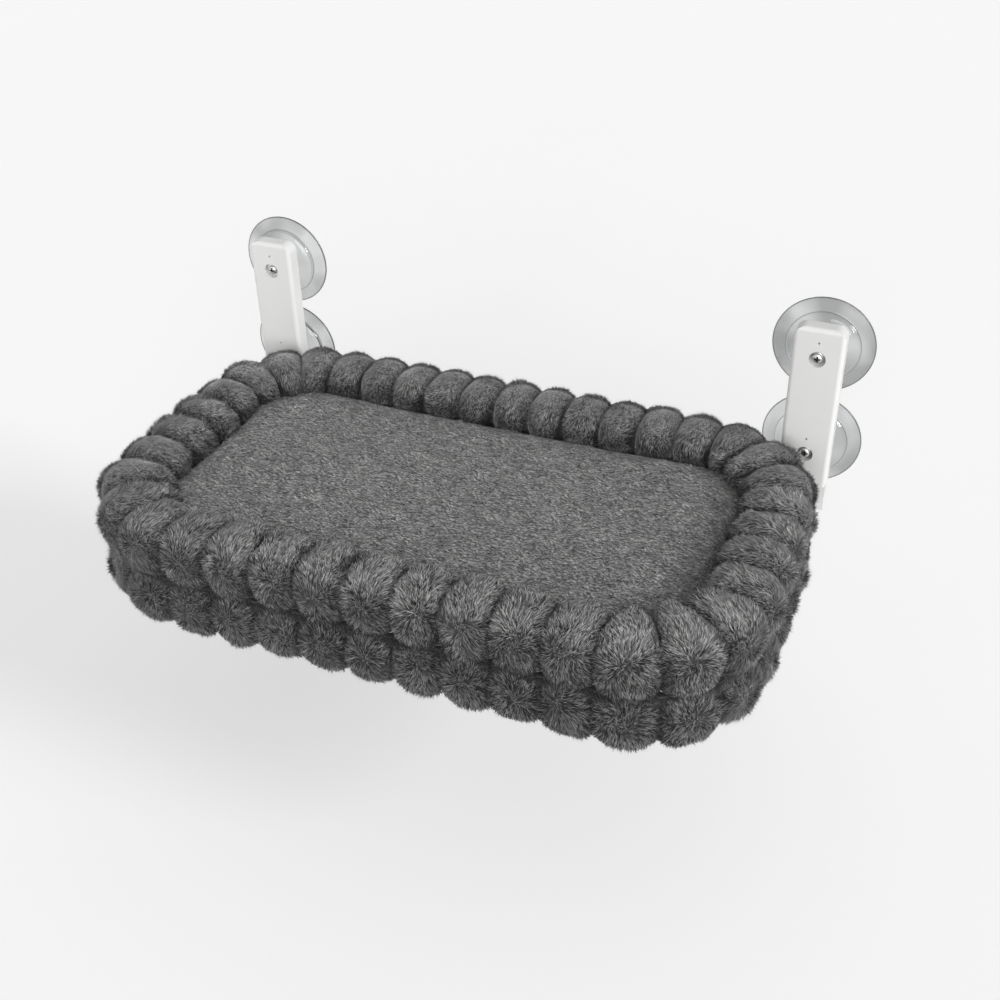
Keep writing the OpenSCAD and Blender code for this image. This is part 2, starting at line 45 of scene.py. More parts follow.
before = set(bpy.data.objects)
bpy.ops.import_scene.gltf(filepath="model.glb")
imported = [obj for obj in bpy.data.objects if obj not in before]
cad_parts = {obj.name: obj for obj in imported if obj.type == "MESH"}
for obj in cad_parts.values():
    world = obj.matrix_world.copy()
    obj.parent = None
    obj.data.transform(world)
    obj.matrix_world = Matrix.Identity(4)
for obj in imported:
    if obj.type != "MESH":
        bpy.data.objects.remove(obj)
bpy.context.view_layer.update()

UV_MAP = "OFBake"
BED, MOUNT = "bed", "window_mount"
SIDES = ("left", "right")
CUPS = [f"{side}_{level}_cup" for side in SIDES for level in ("upper", "lower")]
WELD = 1e-6
QUARTER_TURN = math.pi / 2

# Settings


def length(name, default, description):
    """A size in metres"""
    return FloatProperty(name=name, default=default, min=0.0, unit="LENGTH", precision=4,
                         description=description)


def share(name, default, description, most=1.0):
    """A share or a strength without a unit"""
    return FloatProperty(name=name, default=default, min=0.0, max=most, subtype="FACTOR",
                         description=description)


def number(name, default, description):
    """A plain number of at least 1"""
    return FloatProperty(name=name, default=default, min=1.0, description=description)


def count(name, default, description):
    """A whole number"""
    return IntProperty(name=name, default=default, min=1, description=description)


def angle(name, default, description):
    """An angle, given in degrees and kept in radians"""
    return FloatProperty(name=name, default=math.radians(default), subtype="ANGLE",
                         description=description)


def colour(name, default, description):
    """A linear colour"""
    return FloatVectorProperty(name=name, default=default, size=3, min=0.0, max=1.0,
                               subtype="COLOR", description=description)


class PerchRolls(PropertyGroup):
    """Sizes of the two plush rolls"""

    corner_radius: length("Corner radius", 0.104, "Radius of the bed's corners in plan")
    width: length("Upper roll width", 0.060, "Width of the upper roll in plan")
    lower_thickness: length("Lower roll thickness", 0.024, "Thickness of the lower roll")
    skirt_inner: length("Skirt depth", 0.01485, "How far in the hanging skirt reaches")
    bubbles: count("Bubbles", 40, "Number of bubbles along each roll")
    swing: share("Pitch swing", 0.085, "How much shorter the back's bubbles are than their mean")
    rings: count("Rings", 14, "Rings of faces along one bubble")
    groove: share("Groove", 0.60, "Size of the roll in a groove, as a share of its size on a bubble")
    corner_fill: length("Corner fill", 0.009, "How far the upper roll's corners bulge inward")
    # The seam's darkening is painted shade; the same mark also shortens the fibres there
    seam_fade: length("Seam fade", 0.009, "How far the seam between the rows darkens the pile")
    unevenness: share("Unevenness", 0.10, "How much the bubbles differ from each other")
    seed: count("Seed", 7, "Seed of the differences between bubbles")


class PerchPile(PropertyGroup):
    """The plush pile of the rolls and the short nap of the mat"""

    reach: length("Pile depth", 0.0045, "How far the rolls' pile stands off the backing")
    fibre_length: length("Fibre length", 0.0066, "Length of a fibre on the rolls")
    fibre_width: length("Fibre width", 0.00050, "Width of a fibre at its root")
    density: number("Fibres per square metre", 2.4e6, "Fibres on the rolls")
    clump: length("Clump size", 0.0030, "Size of the clumps that the fibres gather in")
    swirl: length("Swirl size", 0.020, "Size of the patches that lie one way")
    whorl: length("Whorl size", 0.012, "Width of the middle of a bubble, where the fibres stand up")
    drift: length("Whorl drift", 0.006, "How far the middle of a whorl may lie off its bubble's")
    raised: length("Whorl raise", 0.004, "How far the whorls lie above the middle of the bubbles")
    nap_length: length("Nap length", 0.0034, "Length of a fibre on the mat")
    nap_width: length("Nap width", 0.00044, "Width of a fibre on the mat")
    nap_density: number("Nap fibres per square metre", 2.2e6, "Fibres on the mat")
    nap_clump: length("Nap clump size", 0.0028, "Size of the clumps on the mat")
    nap_swirl: length("Nap swirl size", 0.012, "Size of the patches on the mat that lie one way")
    upper_parts: count("Upper pile pieces", 8, "Pieces that the upper roll's pile is made in")
    lower_parts: count("Lower pile pieces", 4, "Pieces that the lower roll's pile is made in")
    mat_parts: count("Mat nap pieces", 3, "Pieces that the mat's nap is made in")


class PerchMat(PropertyGroup):
    """Sizes of the sleeping mat"""

    inset: length("Inset", 0.052, "How far the mat's edge lies in from the bed's outline")
    draw: length("Draw-in", 0.002, "How far its sides draw in between its corners")
    edge_width: length("Edge width", 0.006, "Width of its soft edge")
    edge_height: length("Edge height", 0.008, "Height of its soft edge")
    crown: length("Crown", 0.002, "Rise of its middle before it is filled")
    voxel: length("Cloth cell", 0.005, "Size of a cell of the simulated cloth")
    swell: length("Most swell", 0.0022, "How far the filling may push the cloth out")
    pressure: share("Pressure", 4.0, "Pressure of the filling", 10.0)
    frames: count("Frames", 20, "Frames that the filling is simulated for")


class PerchTrim(PropertyGroup):
    """Sizes of the screws' crosses and threads, the tapes and the stitches"""

    cross_length: length("Cross length", 0.0054, "Length of each bar of a screw's cross")
    cross_width: length("Cross width", 0.0014, "Width of each bar of a screw's cross")
    cross_depth: length("Cross depth", 0.0022, "Depth of a screw's cross")
    thread_depth: length("Thread depth", 0.0004, "Depth of a screw's thread")
    turns: count("Turns", 9, "Turns of a screw's thread")
    bristle_pitch: length("Bristle pitch", 0.0022, "Distance between hooks, or between loops")
    bristle_radius: length("Bristle radius", 0.00016, "Radius of a hook's or a loop's thread")
    tape_base: length("Tape base", 0.0009, "Thickness of a tape's woven base")
    stitch_pitch: length("Stitch pitch", 0.0055, "Distance between two stitches")
    stitch_length: length("Stitch length", 0.0038, "Length of a stitch")
    stitch_radius: length("Stitch radius", 0.0003, "Radius of the thread of a stitch")
    stitch_inset: length("Stitch inset", 0.007, "How far the stitches lie in from the cover's edge")


class PerchColours(PropertyGroup):
    """Colours of the finishes"""

    plastic: colour("Plastic", (0.88, 0.88, 0.87), "White moulded plastic")
    pvc: colour("Clear PVC", (0.62, 0.63, 0.63), "Tint of the suction cups")
    steel: colour("Steel", (0.74, 0.74, 0.73), "Plated steel")
    brass: colour("Brass", (0.62, 0.45, 0.20), "Inserts in the cups")
    # The root colours are painted shade among the fibres; the tip colours are the fibres' own
    plush_root_painted_shade: colour("Plush root", (0.026, 0.026, 0.025), "Foot of the rolls' fibres")
    plush_tip: colour("Plush tip", (0.40, 0.40, 0.396), "Tips of the rolls' fibres")
    nap_root_painted_shade: colour("Mat root", (0.08, 0.08, 0.079), "Foot of the mat's fibres")
    nap_tip: colour("Mat tip", (0.72, 0.72, 0.712), "Tips of the mat's fibres")
    lining: colour("Lining", (0.055, 0.055, 0.058), "Cloth under the bed")
    board: colour("Board", (0.42, 0.30, 0.19), "Base board")
    foam: colour("Foam", (0.80, 0.78, 0.68), "Foam core")
    thread: colour("Thread", (0.10, 0.10, 0.105), "Stitches under the bed")
    tape: colour("Tape", (0.020, 0.020, 0.021), "Hook and loop tapes")
    floor_low: colour("Floor, darker", (0.80, 0.80, 0.80), "Darker patches of the floor")
    floor_high: colour("Floor, paler", (0.82, 0.82, 0.82), "Paler patches of the floor")


class PerchStage(PropertyGroup):
    """Camera, lamps and floor"""

    eye: FloatVectorProperty(
        name="Eye", default=(0.36421, -0.93469, 0.51652), subtype="TRANSLATION",
        description="Where the camera stands",
    )
    yaw: angle("Yaw", 23.307, "Turn of the camera about the vertical")
    pitch: angle("Pitch", 34.232, "How far the camera looks down")
    roll: angle("Roll", -1.408, "Turn of the camera about its own line of sight")
    lens: number("Lens", 45.81, "Focal length in mm")
    sensor: number("Sensor", 36.0, "Sensor width in mm")
    floor_drop: length("Floor drop", 0.30, "How far the floor lies below the origin")
    floor_size: length("Floor size", 60.0, "Width of the floor")
    glow: share("Floor glow", 0.35, "How much paler the floor shows than its light makes it")
    sky: share("Sky", 0.37, "Light that comes from all sides")
    key: share("Key", 0.40, "Light of the key lamp on a surface that faces it", 4.0)
    key_spread: angle("Key spread", 18.0, "Width of the key lamp, seen from the perch")
    fill: share("Fill", 0.50, "Light of the fill lamp on a surface that faces it", 4.0)
    fill_spread: angle("Fill spread", 40.0, "Width of the fill lamp, seen from the perch")


# Small helpers for node trees


def socket(sockets, key):
    """The live socket with a name or a number"""
    if isinstance(key, int):
        return sockets[key]
    return next(s for s in sockets if s.name == key and s.enabled)


class Nodes:
    """Short ways to add nodes to a tree. An input is a value, or the socket that feeds it."""

    def __init__(self, tree):
        self.tree = tree

    def feed(self, node, inputs):
        """Sets or links a node's inputs"""
        for key, value in inputs.items():
            target = socket(node.inputs, key)
            if isinstance(value, NodeSocket):
                self.tree.links.new(value, target)
            else:
                target.default_value = value

    def node(self, kind, inputs=None, **settings):
        """A new node's outputs"""
        made = self.tree.nodes.new(kind)
        for name, value in settings.items():
            setattr(made, name, value)
        self.feed(made, inputs or {})
        return made.outputs

    def add(self, kind, inputs=None, **settings):
        """A new node's first live output"""
        return next(s for s in self.node(kind, inputs, **settings) if s.enabled)

    def math(self, operation, *values, clamp=False):
        """The result of a sum on numbers"""
        return self.add("ShaderNodeMath", dict(enumerate(values)), operation=operation,
                        use_clamp=clamp)

    def times(self, first, second, clamp=False):
        """first x second"""
        return self.math("MULTIPLY", first, second, clamp=clamp)

    def ramp(self, value, slope, start):
        """value x slope + start"""
        return self.math("MULTIPLY_ADD", value, slope, start)

    def vector(self, operation, *values):
        """The result of a sum on vectors"""
        return self.add("ShaderNodeVectorMath", dict(enumerate(values)), operation=operation)

    def scaled(self, value, by):
        """A vector made longer or shorter"""
        return self.add("ShaderNodeVectorMath", {0: value, "Scale": by}, operation="SCALE")

    def xyz(self, x=0.0, y=0.0, z=0.0):
        """A vector, or a colour, from three numbers"""
        return self.add("ShaderNodeCombineXYZ", {0: x, 1: y, 2: z})

    def part(self, value, number):
        """One of a vector's three numbers"""
        return self.node("ShaderNodeSeparateXYZ", {0: value})[number]

    def stored(self, name, kind="FLOAT"):
        """A stored attribute, in a geometry tree"""
        return self.add("GeometryNodeInputNamedAttribute", {"Name": name}, data_type=kind)

    def store(self, geometry, name, value, kind="FLOAT", domain="POINT"):
        """The geometry with an attribute stored on it"""
        inputs = {"Geometry": geometry, "Name": name, "Value": value}
        return self.add("GeometryNodeStoreNamedAttribute", inputs, data_type=kind, domain=domain)

    def luck(self, low, high, seed, kind="FLOAT", **more):
        """A random value for each point"""
        inputs = {"Min": low, "Max": high, "Seed": seed, **more}
        return self.add("FunctionNodeRandomValue", inputs, data_type=kind)

    def mark(self, name):
        """A stored attribute, in a material"""
        return self.node("ShaderNodeAttribute", attribute_name=name)["Fac"]

    def where(self):
        """The object's own coordinates, in a material"""
        return self.node("ShaderNodeTexCoord")["Object"]

    def noise(self, scale, detail=3.0, roughness=0.5):
        """Noise in the object's own coordinates, as a number"""
        inputs = {"Vector": self.where(), "Scale": scale, "Detail": detail, "Roughness": roughness}
        return self.add("ShaderNodeTexNoise", inputs)

    def blend(self, factor, first, second, kind="MIX"):
        """One colour laid over another"""
        inputs = {"Factor": factor, "A": first, "B": second}
        return self.add("ShaderNodeMix", inputs, data_type="RGBA", blend_type=kind)

    def dim(self, body, level):
        """A colour times a number"""
        return self.blend(1.0, body, self.xyz(level, level, level), "MULTIPLY")

    def spread(self, value, low, high, from_low=0.0, from_high=1.0):
        """A number moved from one range to another"""
        return self.add("ShaderNodeMapRange", {0: value, 1: from_low, 2: from_high, 3: low, 4: high})

    def bump(self, distance, height):
        """A normal from a height"""
        return self.add("ShaderNodeBump", {"Distance": distance, "Height": height})

    def end(self, *results):
        """The whole tree, with its results led out"""
        self.feed(self.tree.nodes.new("NodeGroupOutput"), dict(enumerate(results)))
        return self.tree

    def end_geometry(self, geometry, material):
        """The whole geometry tree, ended in Realize Instances and Set Material"""
        real = self.add("GeometryNodeRealizeInstances", {"Geometry": geometry})
        return self.end(self.add("GeometryNodeSetMaterial", {"Geometry": real, "Material": material}))


def geometry_tree(name, inputs):
    """An empty geometry tree with named inputs and a finish, as (its nodes, its input sockets)"""
    tree = bpy.data.node_groups.new(name, "GeometryNodeTree")
    tree.interface.new_socket("Geometry", in_out="OUTPUT", socket_type="NodeSocketGeometry")
    for label, kind in {"Geometry": "Geometry", **inputs, "Finish": "Material"}.items():
        tree.interface.new_socket(label, in_out="INPUT", socket_type="NodeSocket" + kind)
    return Nodes(tree), tree.nodes.new("NodeGroupInput").outputs


def shader_group(name, inputs, outputs):
    """An empty shader group with defaults, as (its nodes, its input sockets)"""
    tree = bpy.data.node_groups.new(name, "ShaderNodeTree")
    for label, value in inputs.items():
        kind = "NodeSocketFloat" if isinstance(value, float) else "NodeSocketColor"
        tree.interface.new_socket(label, in_out="INPUT", socket_type=kind).default_value = value
    for label, kind in outputs.items():
        tree.interface.new_socket(label, in_out="OUTPUT", socket_type="NodeSocket" + kind)
    return Nodes(tree), tree.nodes.new("NodeGroupInput").outputs


def grow(obj, tree, **values):
    """Runs a geometry tree on a piece and keeps the result as its plain mesh"""
    modifier = obj.modifiers.new(tree.name, "NODES")
    modifier.node_group = tree
    names = {item.name: item.identifier for item in tree.interface.items_tree
             if item.in_out == "INPUT"}
    for key, value in values.items():
        modifier[names[key.replace("_", " ").capitalize()]] = value
    return settle(obj)


def settle(obj):
    """Turns a piece's modifiers into its mesh"""
    bpy.context.view_layer.update()
    graph = bpy.context.evaluated_depsgraph_get()
    mesh = bpy.data.meshes.new_from_object(
        obj.evaluated_get(graph), preserve_all_data_layers=True, depsgraph=graph
    )
    obj.modifiers.clear()
    old, obj.data = obj.data, mesh
    if not old.users:
        bpy.data.meshes.remove(old)
    mesh.name = obj.name
    return obj


# Small helpers for meshes

PATH_FINENESS = 24
# The most of an edge that one fillet takes
FILLET_LIMIT = 0.45


def make_object(name, mesh, material=None):
    """Links a mesh into the scene as a piece"""
    obj = bpy.data.objects.new(name, mesh)
    bpy.context.scene.collection.objects.link(obj)
    if material:
        paint(mesh, material)
    return obj


def make_piece(name, verts, faces, material=None, weld=0.0, turn_out=True, marks=None):
    """A smooth piece from points and faces, with its normals outward and marks on its points"""
    mesh = bpy.data.meshes.new(name)
    mesh.from_pydata([tuple(v) for v in verts], [], [tuple(int(i) for i in f) for f in faces])
    for key, values in (marks or {}).items():
        store(mesh, key, values)
    work = bmesh.new()
    work.from_mesh(mesh)
    if weld:
        bmesh.ops.remove_doubles(work, verts=work.verts, dist=weld)
    if turn_out:
        bmesh.ops.recalc_face_normals(work, faces=work.faces)
    work.to_mesh(mesh)
    work.free()
    mesh.shade_smooth()
    return make_object(name, mesh, material)


def centre(node):
    """The middle of a CAD node's box"""
    low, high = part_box(node)
    return (low + high) / 2


def paint(mesh, material):
    """Gives a mesh one finish"""
    mesh.materials.clear()
    mesh.materials.append(material)


def dress(piece, body, node=None):
    """Lets a piece ride on a body, in the place of a CAD node if one is given"""
    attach(piece, body)
    if node:
        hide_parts(node)


def store(mesh, name, values, kind="FLOAT", domain="POINT"):
    """Stores values on a mesh's points or faces"""
    field = "vector" if kind == "FLOAT_VECTOR" else "value"
    layer = mesh.attributes.new(name, kind, domain)
    layer.data.foreach_set(field, np.asarray(values).ravel())


def read(items, key, width=3):
    """A value of each of a mesh's parts, a row for each"""
    values = np.zeros(len(items) * width)
    items.foreach_get(key, values)
    return values.reshape(-1, width)


def tube_faces(rings, sides):
    """Faces of a closed ring of rings"""
    k, j = np.meshgrid(np.arange(rings), np.arange(sides), indexing="ij")
    k2, j2 = (k + 1) % rings, (j + 1) % sides
    corners = [k * sides + j, k * sides + j2, k2 * sides + j2, k2 * sides + j]
    return np.stack(corners, -1).reshape(-1, 4)


def open_tube(rings, sides):
    """Faces of a row of rings"""
    return tube_faces(rings, sides)[: (rings - 1) * sides]


def smooth_path(points, number, closed):
    """Points spaced evenly along a Catmull-Rom curve through the given ones"""
    p = np.asarray(points, float)
    ends = (p[-1:], p[:2]) if closed else (2 * p[:1] - p[1:2], 2 * p[-1:] - p[-2:-1])
    p = np.vstack([ends[0], p, ends[1]])
    t = np.linspace(0, 1, PATH_FINENESS, endpoint=False)[:, None]
    fine = np.vstack([
        0.5 * (2 * b + (c - a) * t + (2 * a - 5 * b + 4 * c - d) * t**2
               + (3 * b - a - 3 * c + d) * t**3)
        for a, b, c, d in zip(p, p[1:], p[2:], p[3:])
    ] + [p[-2:-1]])
    run = np.concatenate([[0], np.cumsum(np.linalg.norm(np.diff(fine, axis=0), axis=1))])
    at = np.linspace(0, run[-1], number, endpoint=not closed)
    return np.stack([np.interp(at, run, fine[:, k]) for k in range(fine.shape[1])], 1)


def filleted(outline, radius, steps=5):
    """An open outline with its inner corners rounded"""
    p = [np.asarray(q, float) for q in outline]
    done = [p[0]]
    for before, corner, after in zip(p, p[1:], p[2:]):
        reach = [(q - corner, np.linalg.norm(q - corner)) for q in (before, after)]
        size = min(radius, *(FILLET_LIMIT * far for _, far in reach))
        start, end = (corner + way / far * size for way, far in reach)
        for t in np.linspace(0, 1, steps):
            done.append((1 - t) ** 2 * start + 2 * t * (1 - t) * corner + t * t * end)
    return np.array(done + [p[-1]])


def spun(outline, steps):
    """Points and faces of an outline of (radius, depth) spun about the line out of the glass"""
    turn = np.linspace(0, 2 * math.pi, steps, endpoint=False)
    radius, depth = np.asarray(outline).T
    ring = np.stack([np.cos(turn), np.zeros(steps), np.sin(turn)], 1)
    verts = radius[:, None, None] * ring + depth[:, None, None] * np.array([0, -1, 0])
    return verts.reshape(-1, 3), open_tube(len(outline), steps)


def inward(path, distance, closed=True):
    """A path moved to its left by a distance, or by one distance for each point"""
    step = np.roll(path, -1, 0) - np.roll(path, 1, 0)
    if not closed:
        step[0], step[-1] = path[1] - path[0], path[-1] - path[-2]
    normal = np.stack([-step[:, 1], step[:, 0]], 1)
    normal /= np.linalg.norm(normal, axis=1)[:, None]
    return path + normal * np.reshape(distance, (-1, 1))


class BedPlan:
    """The bed in plan, read from the frame, with places along the middle of its rolls"""

    def __init__(self, rolls):
        low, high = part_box("upper_roll")
        self.low_z, self.high_z = low.z, high.z
        self.middle = np.array([(low.x + high.x) / 2, (low.y + high.y) / 2])
        self.inset = rolls.width / 2
        self.radius = rolls.corner_radius - self.inset
        self.lx = high.x - low.x - 2 * rolls.corner_radius
        self.ly = high.y - low.y - 2 * rolls.corner_radius
        self.round = 2 * (self.lx + self.ly + math.pi * self.radius)

    def stations(self, shares, inset=None):
        """Places at shares of the way round, on the line set in by inset, and outward directions"""
        radius = self.radius if inset is None else self.radius + self.inset - inset
        quarter = math.pi * radius / 2
        half = self.lx + self.ly + 2 * quarter
        p = np.mod(np.asarray(shares, float), 1) * 2 * half
        flip = np.where(p < half, 1.0, -1.0)[:, None]
        p = np.where(p < half, p, p - half)
        ends = np.cumsum([self.lx / 2, quarter, self.ly, quarter])
        turn = np.select(
            [p < end for end in ends],
            [QUARTER_TURN, QUARTER_TURN - (p - ends[0]) / radius, 0, -(p - ends[2]) / radius],
            -QUARTER_TURN,
        )
        x = np.select([p < ends[0], p < ends[3]], [p, self.lx / 2], self.lx / 2 - (p - ends[3]))
        y = np.select([p < ends[1], p < ends[2]], [self.ly / 2, self.ly / 2 - (p - ends[1])],
                      -self.ly / 2)
        out = np.stack([np.cos(turn), np.sin(turn)], 1)
        return self.middle + flip * (np.stack([x, y], 1) + radius * out), flip * out

    def depth(self, points):
        """How far points lie in from the bed's outline"""
        q = np.abs(points[:, :2] - self.middle) - np.array([self.lx, self.ly]) / 2
        outside = np.linalg.norm(np.maximum(q, 0), axis=1)
        return self.radius + self.inset - outside - np.minimum(q.max(1), 0)


# Finishes

ROLL_CONTRAST, ROLL_SHEEN = 2.9, 1.0
MAT_CONTRAST, MAT_SHEEN = 2.3, 0.15
TONE_POWER, MIDDLE_SHADE, DARKEST_GAIN = 1.1, 0.5, 0.06
WEAVE_CROSSING, WORN_SHARE = 0.3, 0.3
PLASTIC_GRAIN = {"Scale": 1100.0, "Roughness": 0.42}
CLEAR_GRAIN = {"Scale": 160.0, "Roughness": 0.07, "Spread": 0.08, "Depth": 0.00004}
STEEL_GRAIN = {"Scale": 2600.0, "Roughness": 0.33, "Spread": 0.25, "Depth": 0.00001}
BRASS_GRAIN = {**STEEL_GRAIN, "Roughness": 0.35}
THREAD_GRAIN = {"Scale": 4000.0, "Roughness": 0.7, "Spread": 0.1, "Depth": 0.00008}
LINING_WEAVE = {"Threads": 1500.0, "Depth": 0.0003}
TAPE_WEAVE = {"Threads": 2400.0, "Depth": 0.0001}


def pile_tone_group():
    """Colour of a fibre: dark at its foot as painted shade among the fibres, light at its tip, times
    its stored shade, which holds each clump's own tone and painted light and shade
    """
    nodes, enter = shader_group(
        "pile_tone",
        {"Root": (0, 0, 0, 1), "Tip": (1, 1, 1, 1), "Height": 0.5, "Shade": 0.5, "Contrast": 0.6},
        {"Color": "Color"},
    )
    height = nodes.math("POWER", enter["Height"], TONE_POWER)
    body = nodes.blend(height, enter["Root"], enter["Tip"])
    swing = nodes.math("SUBTRACT", enter["Shade"], MIDDLE_SHADE)
    gain = nodes.math("MAXIMUM", nodes.ramp(swing, enter["Contrast"], 1.0), DARKEST_GAIN)
    return nodes.end(nodes.dim(body, gain))


def moulding_group():
    """Fine grain of a moulded surface: a roughness and a faintly uneven normal"""
    nodes, enter = shader_group(
        "moulding",
        {"Scale": 900.0, "Roughness": 0.4, "Spread": 0.12, "Depth": 0.00003},
        {"Roughness": "Float", "Normal": "Vector", "Mask": "Float"},
    )
    grain = nodes.noise(enter["Scale"], detail=2.0)
    flow = nodes.noise(scale=28.0, detail=4.0, roughness=0.6)
    rough = nodes.ramp(nodes.math("SUBTRACT", flow, 0.5), enter["Spread"], enter["Roughness"])
    return nodes.end(rough, nodes.bump(enter["Depth"], grain), flow)


def weave_group():
    """Plain weave of threads that cross in the object's X and Y: a colour mask and a normal"""
    nodes, enter = shader_group(
        "plain_weave", {"Threads": 1400.0, "Depth": 0.0002}, {"Mask": "Float", "Normal": "Vector"}
    )
    where, pace = nodes.where(), nodes.times(enter["Threads"], math.pi)
    across, along = (
        nodes.math("SINE", nodes.times(nodes.part(where, axis), pace)) for axis in (0, 1)
    )
    ridge = nodes.math("MAXIMUM", *(nodes.math("ABSOLUTE", wave) for wave in (across, along)))
    height = nodes.ramp(nodes.times(across, along), WEAVE_CROSSING, ridge)
    return nodes.end(height, nodes.bump(enter["Depth"], height))


def toned(rgb, by=1.0):
    """A colour made lighter or darker, with its alpha"""
    return (*(min(1.0, c * by) for c in rgb), 1.0)


def finish(name, recipe, *values):
    """A material whose Principled inputs a recipe works out"""
    material = bpy.data.materials.new(name)
    material.use_nodes = True
    nodes = Nodes(material.node_tree)
    nodes.feed(material.node_tree.nodes["Principled BSDF"], recipe(nodes, *values))
    return material


def pile_paint(nodes, root, tip, contrast, sheen):
    """Plush that reads each fibre's stored height and shade, which carry its painted shade at the root
    and its painted light and shade
    """
    tone = nodes.add("ShaderNodeGroup", {
        "Root": toned(root), "Tip": toned(tip), "Height": nodes.mark("tip"),
        "Shade": nodes.mark("shade"), "Contrast": contrast,
    }, node_tree=groups["pile_tone"])
    return {"Base Color": tone, "Roughness": 0.8, "Specular IOR Level": 0.25,
            "Sheen Weight": sheen, "Sheen Roughness": 0.35}


def grained_paint(nodes, tint, rgb, grain):
    """A surface with the grain of a moulding, in the colour that tint gives it"""
    made = nodes.node("ShaderNodeGroup", grain, node_tree=groups["moulding"])
    body, fixed = tint(nodes, made["Mask"], rgb)
    return {"Base Color": body, "Roughness": made["Roughness"], "Normal": made["Normal"], **fixed}


def plastic_tint(nodes, mask, rgb):
    """White moulded plastic"""
    return nodes.dim(toned(rgb), nodes.spread(mask, low=0.95, high=1.02)), {}


def clear_tint(nodes, mask, rgb):
    """Clear soft PVC, slightly hazy, with painted shade as dark outlines where it is marked"""
    cloud = nodes.spread(nodes.noise(scale=26.0, detail=1.0), 0.0, 1.0, from_low=0.35, from_high=0.65)
    body = nodes.blend(cloud, toned(rgb, by=0.65), toned(rgb, by=1.2))
    lined = nodes.blend(nodes.mark("line"), body, toned(rgb, by=0.2))
    return lined, {"IOR": 1.50, "Transmission Weight": 1.0}


def metal_tint(nodes, mask, rgb):
    """Plated or turned metal, with painted shade where it is marked"""
    bright = nodes.blend(mask, toned(rgb, by=0.8), toned(rgb))
    return nodes.blend(nodes.mark("line"), bright, toned(rgb, by=0.12)), {"Metallic": 1.0}


def thread_tint(nodes, mask, rgb):
    """Twisted sewing thread"""
    return nodes.blend(mask, toned(rgb, by=0.7), toned(rgb)), {}


def cloth_paint(nodes, rgb, weave):
    """A woven cloth or tape"""
    woven = nodes.node("ShaderNodeGroup", weave, node_tree=groups["plain_weave"])
    worn = nodes.times(nodes.noise(scale=40.0, detail=5.0), WORN_SHARE)
    light = toned(rgb, by=1.3)
    body = nodes.blend(worn, nodes.blend(woven["Mask"], toned(rgb, by=0.55), light), light)
    return {"Base Color": body, "Normal": woven["Normal"], "Roughness": 0.85, "Sheen Weight": 0.2}


def board_paint(nodes, rgb):
    """Pressed fibre board with short dark fibres"""
    flecks = nodes.noise(scale=700.0, detail=6.0, roughness=0.7)
    body = nodes.blend(nodes.noise(scale=18.0), toned(rgb, by=0.85), toned(rgb))
    spots = nodes.spread(flecks, 0.0, 1.0, from_low=0.5, from_high=0.75)
    return {"Base Color": nodes.blend(spots, body, toned(rgb, by=0.55)),
            "Normal": nodes.bump(distance=0.0001, height=flecks),
            "Roughness": nodes.spread(flecks, low=0.6, high=0.85)}


def foam_paint(nodes, rgb):
    """Open-celled foam"""
    cells = nodes.add("ShaderNodeTexVoronoi", {"Vector": nodes.where(), "Scale": 900.0})
    return {"Base Color": nodes.blend(cells, toned(rgb, by=0.6), toned(rgb)),
            "Normal": nodes.bump(distance=0.0004, height=cells), "Roughness": 0.95}


def floor_paint(nodes, low, high, glow):
    """A pale floor that shows a little paler than its light makes it"""
    return {"Base Color": nodes.blend(nodes.noise(scale=3.0, detail=2.0), toned(low), toned(high)),
            "Roughness": 0.9, "Specular IOR Level": 0.1, "Emission Color": (1, 1, 1, 1),
            "Emission Strength": nodes.times(shown(nodes), glow)}


def shown(nodes):
    """1 for what the camera sees, straight, mirrored or through glass, and 0 for light"""
    path = nodes.node("ShaderNodeLightPath")
    mirrored = nodes.math("MAXIMUM", path["Is Glossy Ray"], path["Is Transmission Ray"])
    return nodes.math("MAXIMUM", path["Is Camera Ray"], mirrored)


def make_finishes(colours):
    """Every finish of the perch, by its slot's name"""
    c = colours
    recipes = {
        "bar_plastic": (grained_paint, plastic_tint, c.plastic, PLASTIC_GRAIN),
        "arm_plastic": (grained_paint, plastic_tint, c.plastic, PLASTIC_GRAIN),
        "clear_pvc": (grained_paint, clear_tint, c.pvc, CLEAR_GRAIN),
        "plated_steel": (grained_paint, metal_tint, c.steel, STEEL_GRAIN),
        "insert_brass": (grained_paint, metal_tint, c.brass, BRASS_GRAIN),
        "roll_plush": (pile_paint, c.plush_root_painted_shade, c.plush_tip, ROLL_CONTRAST, ROLL_SHEEN),
        "mat_plush": (pile_paint, c.nap_root_painted_shade, c.nap_tip, MAT_CONTRAST, MAT_SHEEN),
        "lining_cloth": (cloth_paint, c.lining, LINING_WEAVE),
        "hook_tape": (cloth_paint, c.tape, TAPE_WEAVE),
        "loop_tape": (cloth_paint, c.tape, TAPE_WEAVE),
        "board_wood": (board_paint, c.board),
        "bed_foam": (foam_paint, c.foam),
        "thread": (grained_paint, thread_tint, c.thread, THREAD_GRAIN),
    }
    return {name: finish(name, *recipe) for name, recipe in recipes.items()}


# Trees that repeat or follow a rule

# A fibre's curl, its least length in a groove, how soon it is out of it, and its least painted shade,
# which darkens it in a groove
CURL, SHORTEST, GROOVE_REACH, GROOVE_PAINTED_SHADE = 0.25, 0.30, 1.1, 0.1
# The seed's shift, the least and the most of a fibre's length, width and paleness
FIBRE_LUCK = ((11.0, 0.7, 1.15), (23.0, 0.75, 1.25), (37.0, 0.0, 1.0))
# How much a fibre, its clump and its patch each count in its shade
FIBRE_SHARE, CLUMP_SHARE, PATCH_SHARE = 0.65, 0.15, 0.2
